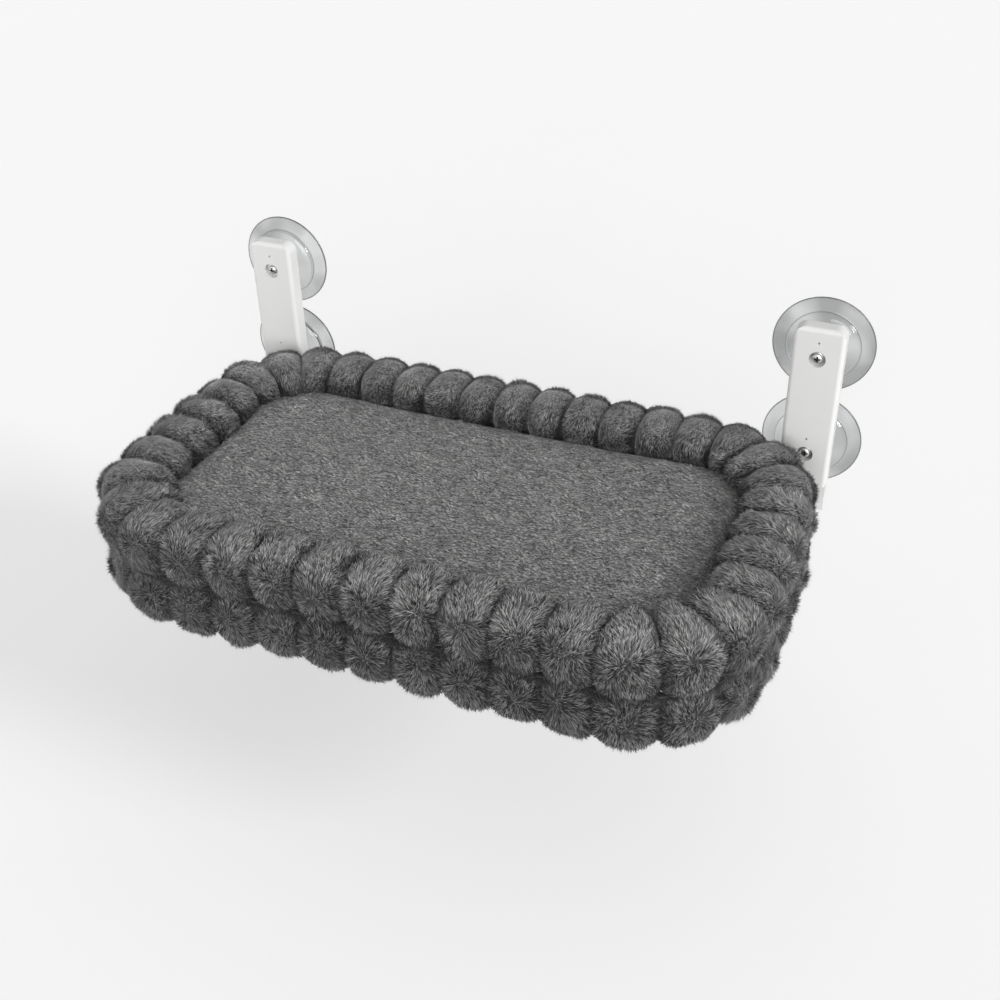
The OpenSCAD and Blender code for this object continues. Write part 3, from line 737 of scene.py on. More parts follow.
# A fibre's place in the UV map: its width there, and the map's span and margin
UV_WIDTH, UV_SPAN, UV_MARGIN = 0.012, 0.96, 0.02
BACKING_MARKS = ("side", "cover", "part", "bubble", "spine", "loose", "arch", "comb", "seam", "painted_light_and_shade")
# Height of a bristle's handles as a share of its own, and its most twist in radians
BRISTLE_BOW, BRISTLE_TWIST = 1.3, 0.5


def swell_tree():
    """Swells a plain roll into bubbles. Each point moves about its spine."""
    nodes, enter = geometry_tree("bubble_swell", {
        "Groove": "Float", "Unevenness": "Float", "Seed": "Int",
    })
    along = nodes.stored("bubble")
    place = nodes.ramp(nodes.math("FRACT", along), 2.0, -1.0)
    room = nodes.math("SUBTRACT", 1.0, nodes.times(place, place), clamp=True)
    arch = nodes.math("SQRT", room)
    luck = nodes.luck(-1.0, 1.0, enter["Seed"], ID=nodes.math("FLOOR", along))
    size = nodes.ramp(luck, enter["Unevenness"], 1.0)
    bulge = nodes.times(nodes.math("SUBTRACT", 1.0, enter["Groove"]), arch)
    factor = nodes.ramp(bulge, size, enter["Groove"])
    where = nodes.add("GeometryNodeInputPosition")
    arm = nodes.vector("SUBTRACT", where, nodes.stored("spine", "FLOAT_VECTOR"))
    pull = nodes.scaled(arm, nodes.math("SUBTRACT", factor, 1.0))
    # The stored arch falls to zero in the grooves and is cut down by the seam mark; the pile reads it
    # for shorter fibres and for painted shade there
    airy = nodes.times(arch, nodes.stored("seam"))
    moved = nodes.add("GeometryNodeSetPosition", {
        "Geometry": nodes.store(enter["Geometry"], "arch", airy),
        "Offset": nodes.vector("MULTIPLY", pull, nodes.stored("loose", "FLOAT_VECTOR")),
    })
    return nodes.end_geometry(moved, enter["Finish"])


def strand(nodes):
    """One fibre, 1 wide and 1 long: a thin leaf that curls over, with its height stored on it"""
    leaf = nodes.add("GeometryNodeMeshCircle", {"Vertices": 4}, fill_type="NGON")
    turn = nodes.times(nodes.add("GeometryNodeInputIndex"), QUARTER_TURN)
    leaf = nodes.store(leaf, "side", nodes.times(nodes.math("COSINE", turn), -1.0))
    leaf = nodes.store(leaf, "tip", nodes.ramp(nodes.math("SINE", turn), 0.5, 0.5))
    tip = nodes.stored("tip")
    curl = nodes.times(nodes.times(tip, tip), CURL)
    shaped = nodes.xyz(nodes.times(nodes.stored("side"), 0.5), curl, tip)
    return nodes.add("GeometryNodeSetPosition", {"Geometry": leaf, "Position": shaped})


def pile_tree():
    """Plants fibres on a backing. They gather in clumps and lie in swirls."""
    nodes, enter = geometry_tree("plush_pile", {
        "Part": "Int", "Density": "Float", "Fibre length": "Float", "Fibre width": "Float",
        "Lift": "Float", "Clump size": "Float", "Clump pull": "Float", "Swirl size": "Float",
        "Swirl pull": "Float", "Stray": "Float", "Comb pull": "Float", "Seed": "Int",
    })
    seed = enter["Seed"]
    part = nodes.add("FunctionNodeCompare", {
        "A": nodes.stored("part", "INT"), "B": enter["Part"],
    }, data_type="INT", operation="EQUAL")
    planted = nodes.node("GeometryNodeDistributePointsOnFaces", {
        "Mesh": enter["Geometry"], "Selection": part, "Seed": seed,
        "Density": nodes.times(nodes.stored("cover"), enter["Density"]),
    }, distribute_method="RANDOM", use_legacy_normal=False)
    normal = planted["Normal"]
    where = nodes.add("GeometryNodeInputPosition")

    cells = nodes.node("ShaderNodeTexVoronoi", {
        "Vector": where, "Scale": nodes.math("DIVIDE", 1.0, enter["Clump size"]),
    })
    noise = nodes.node("ShaderNodeTexNoise", {
        "Vector": where, "Scale": nodes.math("DIVIDE", 1.0, enter["Swirl size"]), "Detail": 1.0,
    })
    gather = nodes.scaled(nodes.vector("SUBTRACT", cells["Position"], where),
                          nodes.math("DIVIDE", enter["Clump pull"], enter["Clump size"]))
    swirl = nodes.scaled(nodes.vector("SUBTRACT", noise["Color"], (0.5, 0.5, 0.5)),
                         enter["Swirl pull"])
    luck = nodes.luck((-1.0, -1.0, -1.0), (1.0, 1.0, 1.0), seed, "FLOAT_VECTOR")
    stray = nodes.scaled(luck, enter["Stray"])
    comb = nodes.scaled(nodes.stored("comb", "FLOAT_VECTOR"), enter["Comb pull"])
    lean = nodes.vector("ADD", nodes.vector("ADD", gather, swirl),
                        nodes.vector("ADD", stray, comb))
    upright = nodes.scaled(normal, nodes.vector("DOT_PRODUCT", lean, normal))
    flat = nodes.vector("SUBTRACT", lean, upright)
    grown = nodes.vector("ADD", flat, nodes.scaled(normal, enter["Lift"]))
    turn = nodes.add("FunctionNodeAxesToRotation", {0: grown, 1: flat},
                     primary_axis="Z", secondary_axis="Y")

    tall, wide, pale = (
        nodes.luck(low, high, nodes.math("ADD", seed, shift)) for shift, low, high in FIBRE_LUCK
    )
    open_air = nodes.times(nodes.stored("arch"), GROOVE_REACH, clamp=True)
    room = nodes.ramp(open_air, 1.0 - SHORTEST, SHORTEST)
    tall = nodes.times(nodes.times(tall, room), enter["Fibre length"])
    wide = nodes.times(wide, enter["Fibre width"])
    shade = nodes.ramp(nodes.math("POWER", pale, 2.0), FIBRE_SHARE,
                       nodes.times(nodes.part(cells["Color"], 0), CLUMP_SHARE))
    shade = nodes.ramp(nodes.part(noise["Color"], 1), PATCH_SHARE, shade)
    # Painted shade: the fibre's random tone darkens in grooves and near the seam between the rows,
    # then takes the mark of painted light and shade by height and side
    lit = nodes.ramp(open_air, 1.0 - GROOVE_PAINTED_SHADE, GROOVE_PAINTED_SHADE)
    lit = nodes.times(lit, nodes.stored("painted_light_and_shade"))
    instances = nodes.add("GeometryNodeInstanceOnPoints", {
        "Points": nodes.store(planted["Points"], "shade", nodes.times(shade, lit, clamp=True)),
        "Instance": strand(nodes), "Rotation": turn, "Scale": nodes.xyz(wide, tall, tall),
    })

    real = nodes.add("GeometryNodeRealizeInstances", {"Geometry": instances})
    across = nodes.ramp(nodes.stored("side"), UV_WIDTH, nodes.stored("shade"))
    place = [nodes.ramp(value, UV_SPAN, UV_MARGIN) for value in (across, nodes.stored("tip"))]
    mapped = nodes.store(real, UV_MAP, nodes.xyz(*place), "FLOAT2", "CORNER")
    for name in BACKING_MARKS:
        mapped = nodes.add("GeometryNodeRemoveAttribute", {"Geometry": mapped, "Name": name})
    smooth = nodes.add("GeometryNodeSetShadeSmooth", {"Geometry": mapped})
    return nodes.end_geometry(smooth, enter["Finish"])


def seats_tree():
    """Puts the geometry at the four corners of an upright rectangle, as on the screws' seats"""
    nodes, enter = geometry_tree("screw_seats", {
        "Width": "Float", "Height": "Float", "Middle": "Vector",
    })
    grid = nodes.add("GeometryNodeMeshGrid", {
        "Size X": enter["Width"], "Size Y": enter["Height"], "Vertices X": 2, "Vertices Y": 2,
    })
    seats = nodes.add("GeometryNodeTransform", {
        "Geometry": grid, "Translation": enter["Middle"], "Rotation": (QUARTER_TURN, 0, 0),
    })
    placed = nodes.add("GeometryNodeInstanceOnPoints", {
        "Points": seats, "Instance": enter["Geometry"],
    })
    return nodes.end_geometry(placed, enter["Finish"])


def bristle_tree():
    """Stands a hook or a loop on each marked point of a tape"""
    nodes, enter = geometry_tree("tape_bristles", {
        "Tall": "Float", "Reach": "Float", "End height": "Float", "Radius": "Float", "Seed": "Int",
    })
    top, reach = nodes.times(enter["Tall"], BRISTLE_BOW), enter["Reach"]
    line = nodes.add("GeometryNodeCurvePrimitiveBezierSegment", {
        "Resolution": 5, "Start": (0.0, 0.0, 0.0), "Start Handle": nodes.xyz(z=top),
        "End Handle": nodes.xyz(reach, z=top), "End": nodes.xyz(reach, z=enter["End height"]),
    })
    ring = nodes.add("GeometryNodeCurvePrimitiveCircle", {
        "Resolution": 3, "Radius": enter["Radius"],
    })
    bristle = nodes.add("GeometryNodeCurveToMesh", {
        "Curve": line, "Profile Curve": ring, "Fill Caps": True,
    })
    upright = nodes.add("FunctionNodeAlignRotationToVector", {
        "Vector": nodes.add("GeometryNodeInputNormal"),
    }, axis="Z")
    twist = nodes.xyz(z=nodes.luck(-BRISTLE_TWIST, BRISTLE_TWIST, enter["Seed"]))
    turned = nodes.add("FunctionNodeRotateRotation", {0: upright, 1: twist},
                       rotation_space="LOCAL")
    bristles = nodes.add("GeometryNodeInstanceOnPoints", {
        "Points": enter["Geometry"], "Selection": nodes.stored("bristly", "BOOLEAN"),
        "Instance": bristle, "Rotation": turned,
    })
    both = nodes.add("GeometryNodeJoinGeometry")
    for part in (enter["Geometry"], bristles):
        nodes.feed(both.node, {0: part})
    return nodes.end_geometry(both, enter["Finish"])


def stitch_tree():
    """Sews a row of stitches along a path of edges"""
    nodes, enter = geometry_tree("stitch_row", {
        "Pitch": "Float", "Stitch length": "Float", "Radius": "Float",
    })
    path = nodes.add("GeometryNodeMeshToCurve", {"Mesh": enter["Geometry"]})
    spots = nodes.node("GeometryNodeCurveToPoints", {
        "Curve": path, "Length": enter["Pitch"],
    }, mode="LENGTH")
    thread = nodes.add("GeometryNodeMeshUVSphere", {"Segments": 6, "Rings": 5, "Radius": 1.0})
    half = nodes.times(enter["Stitch length"], 0.5)
    row = nodes.add("GeometryNodeInstanceOnPoints", {
        "Points": spots["Points"], "Instance": thread, "Rotation": spots["Rotation"],
        "Scale": nodes.xyz(enter["Radius"], enter["Radius"], half),
    })
    real = nodes.add("GeometryNodeRealizeInstances", {"Geometry": row})
    smooth = nodes.add("GeometryNodeSetShadeSmooth", {"Geometry": real})
    return nodes.end_geometry(smooth, enter["Finish"])


# Brackets, cups and screws

CUP_SIDES, SCREW_SIDES = 128, 40
CUP_DOME_STEPS, SCREW_DOME_STEPS = 10, 12
# As shares of a screw head's radius
SHANK_SHARE, HEAD_HEIGHT_SHARE, HEAD_DOME_SHARE = 0.46, 0.62, 0.42
CROSS_CORNERS = 12
# As shares of the cross's own size: its cutter's width at the foot, in the head, and at the
# mouth, above it, and the reach of its faces that get painted shade
CROSS_FOOT, CROSS_MOUTH, CROSS_MARGIN = 0.7, 1.3, 1.05
SHARP_ANGLE = math.radians(35)


class PERCH_OT_brackets(Operator):
    """Gives the bars, arms, pins, washers, inserts and board their finishes"""

    bl_idname = "perch.brackets"
    bl_label = "Brackets and hardware"

    def execute(self, context):
        worn = {
            "bar_plastic": ["left_bar", "right_bar"],
            "arm_plastic": ["left_arm", "right_arm"],
            "plated_steel": ["cup_washers", "left_hinge_pin", "right_hinge_pin", "hinge_washers"],
            "insert_brass": ["cup_inserts"],
            "board_wood": ["base_board"],
        }
        for slot, nodes in worn.items():
            for node in nodes:
                paint(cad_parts[node].data, finishes[slot])
        return {"FINISHED"}


class PERCH_OT_cups(Operator):
    """Makes the four clear suction cups"""

    bl_idname = "perch.cups"
    bl_label = "Suction cups"

    def execute(self, context):
        for node in CUPS:
            low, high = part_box(node)
            middle = centre(node)
            outline, lines = self.outline((high.x - low.x) / 2, -low.y)
            verts, faces = spun(outline, CUP_SIDES)
            cup = make_piece(node + "_clear", verts + np.array([middle.x, 0, middle.z]), faces,
                             finishes["clear_pvc"], weld=WELD,
                             marks={"line": np.repeat(lines, CUP_SIDES)})
            dress(cup, MOUNT, node)
        return {"FINISHED"}

    def outline(self, radius, depth):
        """A cup's half section, as radius and depth from the glass, with a mark where its rim and its
        step get painted shade
        """
        lip, edge, soft, soft_under = 0.004, 0.0016, 0.0004, 0.0008
        ring, hub, stem, bore, bore_depth = 0.0293, 0.013, 0.006, 0.00355, 0.008
        flat, pocket, sag, rise, shoulder = 0.0081, 0.0034, 0.002, 0.0054, 0.015
        brim_low, brim_high, step_high = 0.0040, 0.0041, 0.0047
        dome = [(hub + (ring - hub) * math.cos(a), rise + rise * math.sin(a))
                for a in np.linspace(0, QUARTER_TURN, CUP_DOME_STEPS)]
        under = filleted([(flat, pocket), (hub, pocket), (ring, sag), (radius - lip, 0),
                          (radius - 3 * soft, 0)], soft_under)
        rim = [(radius - soft, 0), (radius, soft), (radius, edge - soft), (radius - soft, edge)]
        brim = [(radius - 3 * soft, edge), (ring + 5 * soft, brim_low), (ring + 3 * soft, brim_high)]
        neck = filleted([dome[-1], (hub, shoulder), (stem, shoulder), (stem, depth), (bore, depth),
                         (bore, depth - bore_depth), (0.0, depth - bore_depth)], soft)
        parts = [([(0.0, pocket), *under], 0), (rim, 1), (brim, 0),
                 ([(ring + 2 * soft, step_high)], 1), ([*dome, *neck[1:]], 0)]
        outline = np.vstack([points for points, _ in parts])
        return outline, np.concatenate([np.full(len(points), float(mark)) for points, mark in parts])


class PERCH_OT_screws(Operator):
    """Makes the four cross-head screws that hold the cups"""

    bl_idname = "perch.screws"
    bl_label = "Screws"

    def execute(self, context):
        low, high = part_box("cup_screws")
        centres = np.array([centre(cup) for cup in CUPS])
        middle = centres.mean(0)
        head = high.x - centres[:, 0].max()
        screw = self.one_screw(context.scene.perch_trim, head, -low.y, -high.y)
        grow(screw, trees["seats"], width=np.ptp(centres[:, 0]), height=np.ptp(centres[:, 2]),
             middle=(middle[0], 0.0, middle[2]), finish=finishes["plated_steel"])
        dress(screw, MOUNT, "cup_screws")
        return {"FINISHED"}

    def one_screw(self, trim, head, top, tip):
        """A pan-head screw on the line out of the glass, with its cross cut in"""
        under = top - head * HEAD_HEIGHT_SHARE
        dome = [(head * math.sin(a), top - head * HEAD_DOME_SHARE * (1 - math.cos(a)))
                for a in np.linspace(0.0, QUARTER_TURN, SCREW_DOME_STEPS)]
        thread = [(head * SHANK_SHARE - k % 2 * trim.thread_depth, depth)
                  for k, depth in enumerate(np.linspace(under, tip, 2 * trim.turns + 1))]
        verts, faces = spun([*dome, (head, under), *thread, (0.0, tip)], SCREW_SIDES)
        screw = make_piece("cup_screws_cross", verts, faces, weld=WELD)
        arm, half = trim.cross_length / 2, trim.cross_width / 2
        plus = [(half, half), (half, arm), (-half, arm)]
        while len(plus) < CROSS_CORNERS:
            plus += [(-z, x) for x, z in plus[-3:]]
        levels = [(top - trim.cross_depth, CROSS_FOOT), (top + trim.cross_depth, CROSS_MOUTH)]
        points = [(x * wide, -depth, z * wide) for depth, wide in levels for x, z in plus]
        cutter = make_piece("cross_cutter", points, [
            *open_tube(2, CROSS_CORNERS), range(CROSS_CORNERS),
            range(CROSS_CORNERS, 2 * CROSS_CORNERS),
        ])
        cross = screw.modifiers.new("cross", "BOOLEAN")
        cross.object, cross.operation, cross.solver = cutter, "DIFFERENCE", "EXACT"
        settle(screw)
        bpy.data.objects.remove(cutter)
        # The faces deep in the cross get painted shade through the line mark
        x, y, z = read(screw.data.vertices, "co").T
        deep = (y > trim.cross_depth / 2 - top) & (np.hypot(x, z) < CROSS_MARGIN * arm)
        store(screw.data, "line", deep & (y < -under))
        screw.data.shade_smooth()
        screw.data.set_sharp_from_angle(angle=SHARP_ANGLE)
        return screw


# Rolls and mat

# Painted light and shade of the pile: the least painted shade in the seam, the painted shade low down,
# what the inner side loses to painted shade, and the painted light on top
SEAM_PAINTED_SHADE, LOW_PAINTED_SHADE, INNER_PAINTED_SHADE, TOP_PAINTED_LIGHT = 0.5, 0.80, 0.30, 1.32
# Height and shade that the backings show in the finish of the pile; the low height gives them the dark
# painted shade of the fibres' roots
ROLL_TIP, MAT_TIP, BACKING_SHADE = 0.12, 0.35, 0.5
UPPER_SECTION_SHARES = (
    (0.2, 0), (0.06, 0.16), (0, 0.45), (0.05, 0.75), (0.22, 0.95), (0.5, 1),
    (0.78, 0.95), (0.95, 0.75), (1, 0.45), (0.9, 0.14), (0.75, 0),
)
UPPER_POINTS = 34
# Share of its height over which the upper roll comes free of the lower one
UPPER_FREE = 0.2
# The upper roll is bare where it is less free than this. It is also bare on its inner side,
# past this share of its width and this far below the mat's top.
BARE_FREEDOM, BARE_INSIDE, BESIDE_MAT = 0.3, 0.6, 0.010
LOWER_SECTION_SHARES = (
    (0.5, 1), (0.21, 0.87), (0.05, 0.7), (0, 0.5), (0.05, 0.3), (0.2, 0.1), (0.42, 0),
)
LOWER_POINTS = 20
LOWER_FREE = 0.1
# The skirt's round foot, and the pile and the freedom of the five points of its inner side
SKIRT_ROUND, SKIRT_RISE = 0.003, 0.010
SKIRT_COVER, SKIRT_FREE = (1, 0.3, 0, 0, 0), (1, 0, 0, 0, 0)
# Under the lower roll: the room beside an arm, the width over which the roll comes down beside
# it, how far from the glass the arms reach, and the least lift that counts
ARM_ROOM, ARM_EASE, ARM_REACH, LEAST_LIFT = 0.011, 0.004, 0.12, 0.0005
ROLL_PILE = {"lift": 0.50, "clump_pull": 0.15, "swirl_pull": 2.4, "stray": 0.30, "comb_pull": 0.9}
MAT_PILE = {"lift": 0.42, "clump_pull": 0.5, "swirl_pull": 1.6, "stray": 0.22, "comb_pull": 0.9}
NAP_WAY = (-0.97, -0.25, 0.0)
# How much the cloth faces up where the nap grows, how far past the mat's edge it may grow, and
# how far the cloth lies below its tips
NAP_SLOPE, NAP_MARGIN, NAP_ROOM = 0.3, 0.001, 0.004
SLAB_SIDES, SLAB_EDGE_STEPS = 128, 15
SLAB_TOP_SHARES = np.linspace(0.92, 0.08, 12)


def plant(backing, parts, slot, **values):
    """Makes the pile of a backing in parts, each its own piece"""
    for part in range(parts):
        piece = make_object(f"{backing.name}_pile_{part + 1}", backing.data.copy())
        grow(piece, trees["pile"], part=part, finish=finishes[slot], seed=part + 1, **values)
        dress(piece, BED)


def roll_backing(name, plan, rolls, pile, section, spine, loose, marks, parts):
    """A plain roll round the bed, from a section of (inset, height), swollen into bubbles"""
    sides = len(section)
    steps = (1 - np.cos(math.pi * np.arange(rolls.rings) / rolls.rings)) / 2
    along = (np.arange(rolls.bubbles)[:, None] + steps).ravel()
    number = along - 0.5
    swing = rolls.swing * np.sin(2 * math.pi * number / rolls.bubbles) / (2 * math.pi)
    place, out = plan.stations(number / rolls.bubbles - swing)
    rings = len(along)

    def ring_points(insets, heights):
        inner = np.clip(insets / plan.inset - 1, 0, 1)
        corner = np.abs(2 * out[:, 0] * out[:, 1])
        bulge = rolls.corner_fill * corner[:, None] * inner
        reach = (plan.inset - insets - bulge)[:, :, None] * out[:, None, :]
        flat = place[:, None, :] + reach
        high = np.broadcast_to(heights[None, :, None], (rings, len(heights), 1))
        return np.concatenate([flat, high], 2)

    verts = ring_points(section[:, 0], section[:, 1]).reshape(-1, 3)
    spines = ring_points(*np.array([spine]).T).repeat(sides, 1).reshape(-1, 3)
    fronts = ring_points(np.zeros(1), np.array([spine[1]])).repeat(sides, 1).reshape(-1, 3)
    luck = np.random.default_rng(rolls.seed).uniform(-1, 1, (rolls.bubbles, 2))
    luck = luck.repeat(rolls.rings, 0) * pile.drift
    off = (np.tile(steps, rolls.bubbles) - 0.5) * (plan.round / rolls.bubbles) + luck[:, 0]
    way = np.stack([out[:, 1] * off, -out[:, 0] * off, luck[:, 1] - pile.raised], 1)
    comb = verts - fronts + way.repeat(sides, 0)
    comb /= np.sqrt((comb**2).sum(1) + pile.whorl**2)[:, None]
    backing = make_piece(name, verts, tube_faces(rings, sides))
    mesh = backing.data
    store(mesh, "bubble", along.repeat(sides))
    for key, values in marks.items():
        store(mesh, key, np.tile(values, rings))
    for key, values in (("spine", spines), ("loose", np.tile(loose, (rings, 1))), ("comb", comb)):
        store(mesh, key, values, "FLOAT_VECTOR")
    part = np.arange(rings * sides) // sides * parts // rings
    store(mesh, "part", part.astype(np.int32), "INT", "FACE")
    store(mesh, "tip", np.full(len(verts), ROLL_TIP))
    store(mesh, "shade", np.full(len(verts), BACKING_SHADE))
    return grow(backing, trees["swell"], groove=rolls.groove, unevenness=rolls.unevenness,
                seed=rolls.seed, finish=finishes["roll_plush"])


def finish_roll(backing, node, pile, parts):
    """Lets a roll ride on the bed in the place of its CAD node, and plants its pile"""
    dress(backing, BED, node)
    plant(backing, parts, "roll_plush", density=pile.density, fibre_length=pile.fibre_length,
          fibre_width=pile.fibre_width, clump_size=pile.clump, swirl_size=pile.swirl, **ROLL_PILE)


def rounded_slab(name, plan, inset, heights, edge_width, edge_height, draw=0.0, crown=0.0,
                 material=None):
    """A slab of the bed's outline set in, with a soft edge. Its long sides draw in."""
    sides, (foot, top_z) = SLAB_SIDES, heights
    edge_z = top_z - edge_height
    place, out = plan.stations((np.arange(sides) + 0.5) / sides, inset)
    half = np.array([plan.lx, plan.ly]) / 2
    straight = np.min(np.abs(place - plan.middle) / half, axis=1)
    drawn = draw * np.maximum(0, 1 - straight**2)
    rings = []
    for turn in np.linspace(-1, 1, SLAB_EDGE_STEPS) * QUARTER_TURN:
        back = edge_width * (1 - math.cos(turn))
        height = edge_z + math.sin(turn) * (edge_height if turn > 0 else edge_z - foot)
        flat = place - out * (back + drawn)[:, None]
        rings.append(np.column_stack([flat, np.full(sides, height)]))
    top = rings[-1]
    for shrink in SLAB_TOP_SHARES:
        inner = top.copy()
        inner[:, :2] = plan.middle + (top[:, :2] - plan.middle) * shrink
        inner[:, 2] += crown * (1 - shrink**2)
        rings.append(inner)
    last = sides * (len(rings) - 1)
    faces = [*open_tube(len(rings), sides), range(sides), range(last, last + sides)]
    return make_piece(name, np.vstack(rings), faces, material)


class PERCH_OT_upper_roll(Operator):
    """Makes the upper roll's bubbles and their pile"""

    bl_idname = "perch.upper_roll"
    bl_label = "Upper roll"

    def execute(self, context):
        rolls, pile = context.scene.perch_rolls, context.scene.perch_pile
        plan = BedPlan(rolls)
        height = plan.high_z - plan.low_z
        shares = smooth_path(UPPER_SECTION_SHARES, UPPER_POINTS, True)
        section = shares * (rolls.width, height) + (0, plan.low_z)
        section[:, 1] = np.maximum(section[:, 1], plan.low_z)
        free = np.clip(shares[:, 1] / UPPER_FREE, 0, 1)
        section = inward(section, pile.reach * -free)
        loose = np.stack([np.ones_like(free), np.ones_like(free), free], 1)
        mat_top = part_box("sleeping_mat")[1].z
        hidden = (shares[:, 0] > BARE_INSIDE) & (section[:, 1] < mat_top - BESIDE_MAT)
        low_painted_shade = LOW_PAINTED_SHADE - INNER_PAINTED_SHADE * np.clip(2 * shares[:, 0] - 1, 0, 1)
        climb = np.clip(2 * shares[:, 1] - 1, 0, 1)
        # Painted light and shade in the pile: darker near the seam, darker low down and more so on the
        # inner side, lighter on top
        marks = {
            "cover": np.where(hidden | (free < BARE_FREEDOM), 0.0, 1.0),
            "seam": np.clip((section[:, 1] - plan.low_z) / rolls.seam_fade, SEAM_PAINTED_SHADE, 1),
            "painted_light_and_shade": low_painted_shade + (TOP_PAINTED_LIGHT - low_painted_shade) * climb**2 * (3 - 2 * climb),
        }
        spine = (rolls.width / 2, plan.low_z + height / 2)
        backing = roll_backing("upper_roll_plush", plan, rolls, pile, section, spine, loose,
                               marks, pile.upper_parts)
        finish_roll(backing, "upper_roll", pile, pile.upper_parts)
        return {"FINISHED"}


class PERCH_OT_lower_roll(Operator):
    """Makes the lower roll's bubbles and their pile"""

    bl_idname = "perch.lower_roll"
    bl_label = "Lower roll"

    def execute(self, context):
        rolls, pile = context.scene.perch_rolls, context.scene.perch_pile
        low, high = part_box("lower_roll")
        thick, cover_z = rolls.lower_thickness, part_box("bottom_cover")[0].z
        shares = smooth_path(LOWER_SECTION_SHARES, LOWER_POINTS, False)
        outer_free = np.clip((1.0 - shares[:, 1]) / LOWER_FREE, 0, 1)
        outer = shares * (thick, high.z - low.z) + (0, low.z)
        outer = inward(outer, pile.reach * outer_free, False)
        inner = [(rolls.skirt_inner - SKIRT_ROUND, low.z + SKIRT_RISE),
                 (rolls.skirt_inner, cover_z), (thick, cover_z),
                 (thick, (cover_z + high.z) / 2), (thick, high.z)]
        section = np.vstack([outer, inner])
        free = np.concatenate([outer_free, SKIRT_FREE])
        # Painted shade in the pile: darker near the seam, and the lower roll darker all over
        marks = {
            "cover": np.concatenate([np.ones(len(outer)), SKIRT_COVER]),
            "seam": np.clip((high.z - section[:, 1]) / rolls.seam_fade, SEAM_PAINTED_SHADE, 1),
            "painted_light_and_shade": np.full(len(section), LOW_PAINTED_SHADE),
        }
        backing = roll_backing("lower_roll_plush", BedPlan(rolls), rolls, pile, section,
                               (thick, (low.z + high.z) / 2), np.stack([free] * 3, 1), marks,
                               pile.lower_parts)
        self.leave_room_for_arms(backing.data, cover_z)
        finish_roll(backing, "lower_roll", pile, pile.lower_parts)
        return {"FINISHED"}

    def leave_room_for_arms(self, mesh, cover_z):
        """Raises the underside over the arms at the back corners, and leaves it bare there"""
        points = read(mesh.vertices, "co")
        bare = np.zeros(len(points), bool)
        for side in SIDES:
            arm_low, arm_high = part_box(f"{side}_arm")
            middle, half = (arm_low.x + arm_high.x) / 2, (arm_high.x - arm_low.x) / 2
            beside = half + ARM_ROOM - np.abs(points[:, 0] - middle)
            over = np.clip(beside / ARM_EASE, 0, 1) * (points[:, 1] > -ARM_REACH)
            lift = np.maximum(points[:, 2], cover_z) - points[:, 2]
            bare |= (over > 0.5) & (lift > LEAST_LIFT)
            points[:, 2] += over * lift
        mesh.vertices.foreach_set("co", points.ravel())
        cover = mesh.attributes["cover"].data
        cover.foreach_set("value", np.where(bare, 0, read(cover, "value", 1).ravel()))
        mesh.update()


class PERCH_OT_mat(Operator):
    """Makes the sleeping mat: cut, filled as cloth, and napped"""

    bl_idname = "perch.mat"
    bl_label = "Sleeping mat"

    def execute(self, context):
        scene = context.scene
        mat, pile, plan = scene.perch_mat, scene.perch_pile, BedPlan(scene.perch_rolls)
        low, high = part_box("sleeping_mat")
        blank = rounded_slab("sleeping_mat_plush", plan, mat.inset, (low.z, high.z - NAP_ROOM),
                             mat.edge_width, mat.edge_height, mat.draw, mat.crown)
        cushion = self.fill(scene, blank, mat)
        mesh = cushion.data
        points, normals = read(mesh.vertices, "co"), read(mesh.vertex_normals, "vector")
        shown_nap = (normals[:, 2] > NAP_SLOPE) & (plan.depth(points) > mat.inset - NAP_MARGIN)
        ones = np.ones(len(points))
        marks = {"cover": ones * shown_nap, "arch": ones, "painted_light_and_shade": ones, "tip": ones * MAT_TIP,
                 "shade": ones * BACKING_SHADE}
        for key, values in marks.items():
            store(mesh, key, values)
        store(mesh, "comb", np.tile(NAP_WAY, (len(points), 1)), "FLOAT_VECTOR")
        across = read(mesh.polygons, "center")[:, 0] - points[:, 0].min()
        part = np.clip(across / np.ptp(points[:, 0]) * pile.mat_parts, 0, pile.mat_parts - 1)
        store(mesh, "part", part.astype(np.int32), "INT", "FACE")
        paint(mesh, finishes["mat_plush"])
        dress(cushion, BED, "sleeping_mat")
        plant(cushion, pile.mat_parts, "mat_plush", density=pile.nap_density,
              fibre_length=pile.nap_length, fibre_width=pile.nap_width,
              clump_size=pile.nap_clump, swirl_size=pile.nap_swirl, **MAT_PILE)
        return {"FINISHED"}

    def fill(self, scene, blank, mat):
        """Fills the mat: a cloth simulation, capped, applied and smoothed"""
        remesh = blank.modifiers.new("cells", "REMESH")
        remesh.mode, remesh.voxel_size = "VOXEL", mat.voxel
        settle(blank)
        rest = read(blank.data.vertices, "co")
        cloth = blank.modifiers.new("filling", "CLOTH").settings
        cloth.use_pressure = True
        cloth.uniform_pressure_force = mat.pressure
        cloth.effector_weights.gravity = 0
        for number in range(1, mat.frames + 1):
            scene.frame_set(number)
        settle(blank)
        scene.frame_set(1)
        move = read(blank.data.vertices, "co") - rest
        far = np.maximum(np.linalg.norm(move, axis=1), mat.swell)[:, None]
        points = rest + move * (mat.swell / far)
        points[:, 2] = np.maximum(points[:, 2], rest[:, 2].min())
        blank.data.vertices.foreach_set("co", points.ravel())
        smooth = blank.modifiers.new("smooth", "SUBSURF")
        smooth.levels = smooth.render_levels = 1
        settle(blank)
        blank.data.shade_smooth()
        return blank


# Underside and tapes

FOAM_EDGE = 0.004
STITCH_PATH_STEPS = 240
# Reach of a hook and of a loop in pitches, and height of its end as a share of its own height
HOOK_REACH, HOOK_END = 0.35, 0.45
LOOP_REACH, LOOP_END = 0.6, 0.0


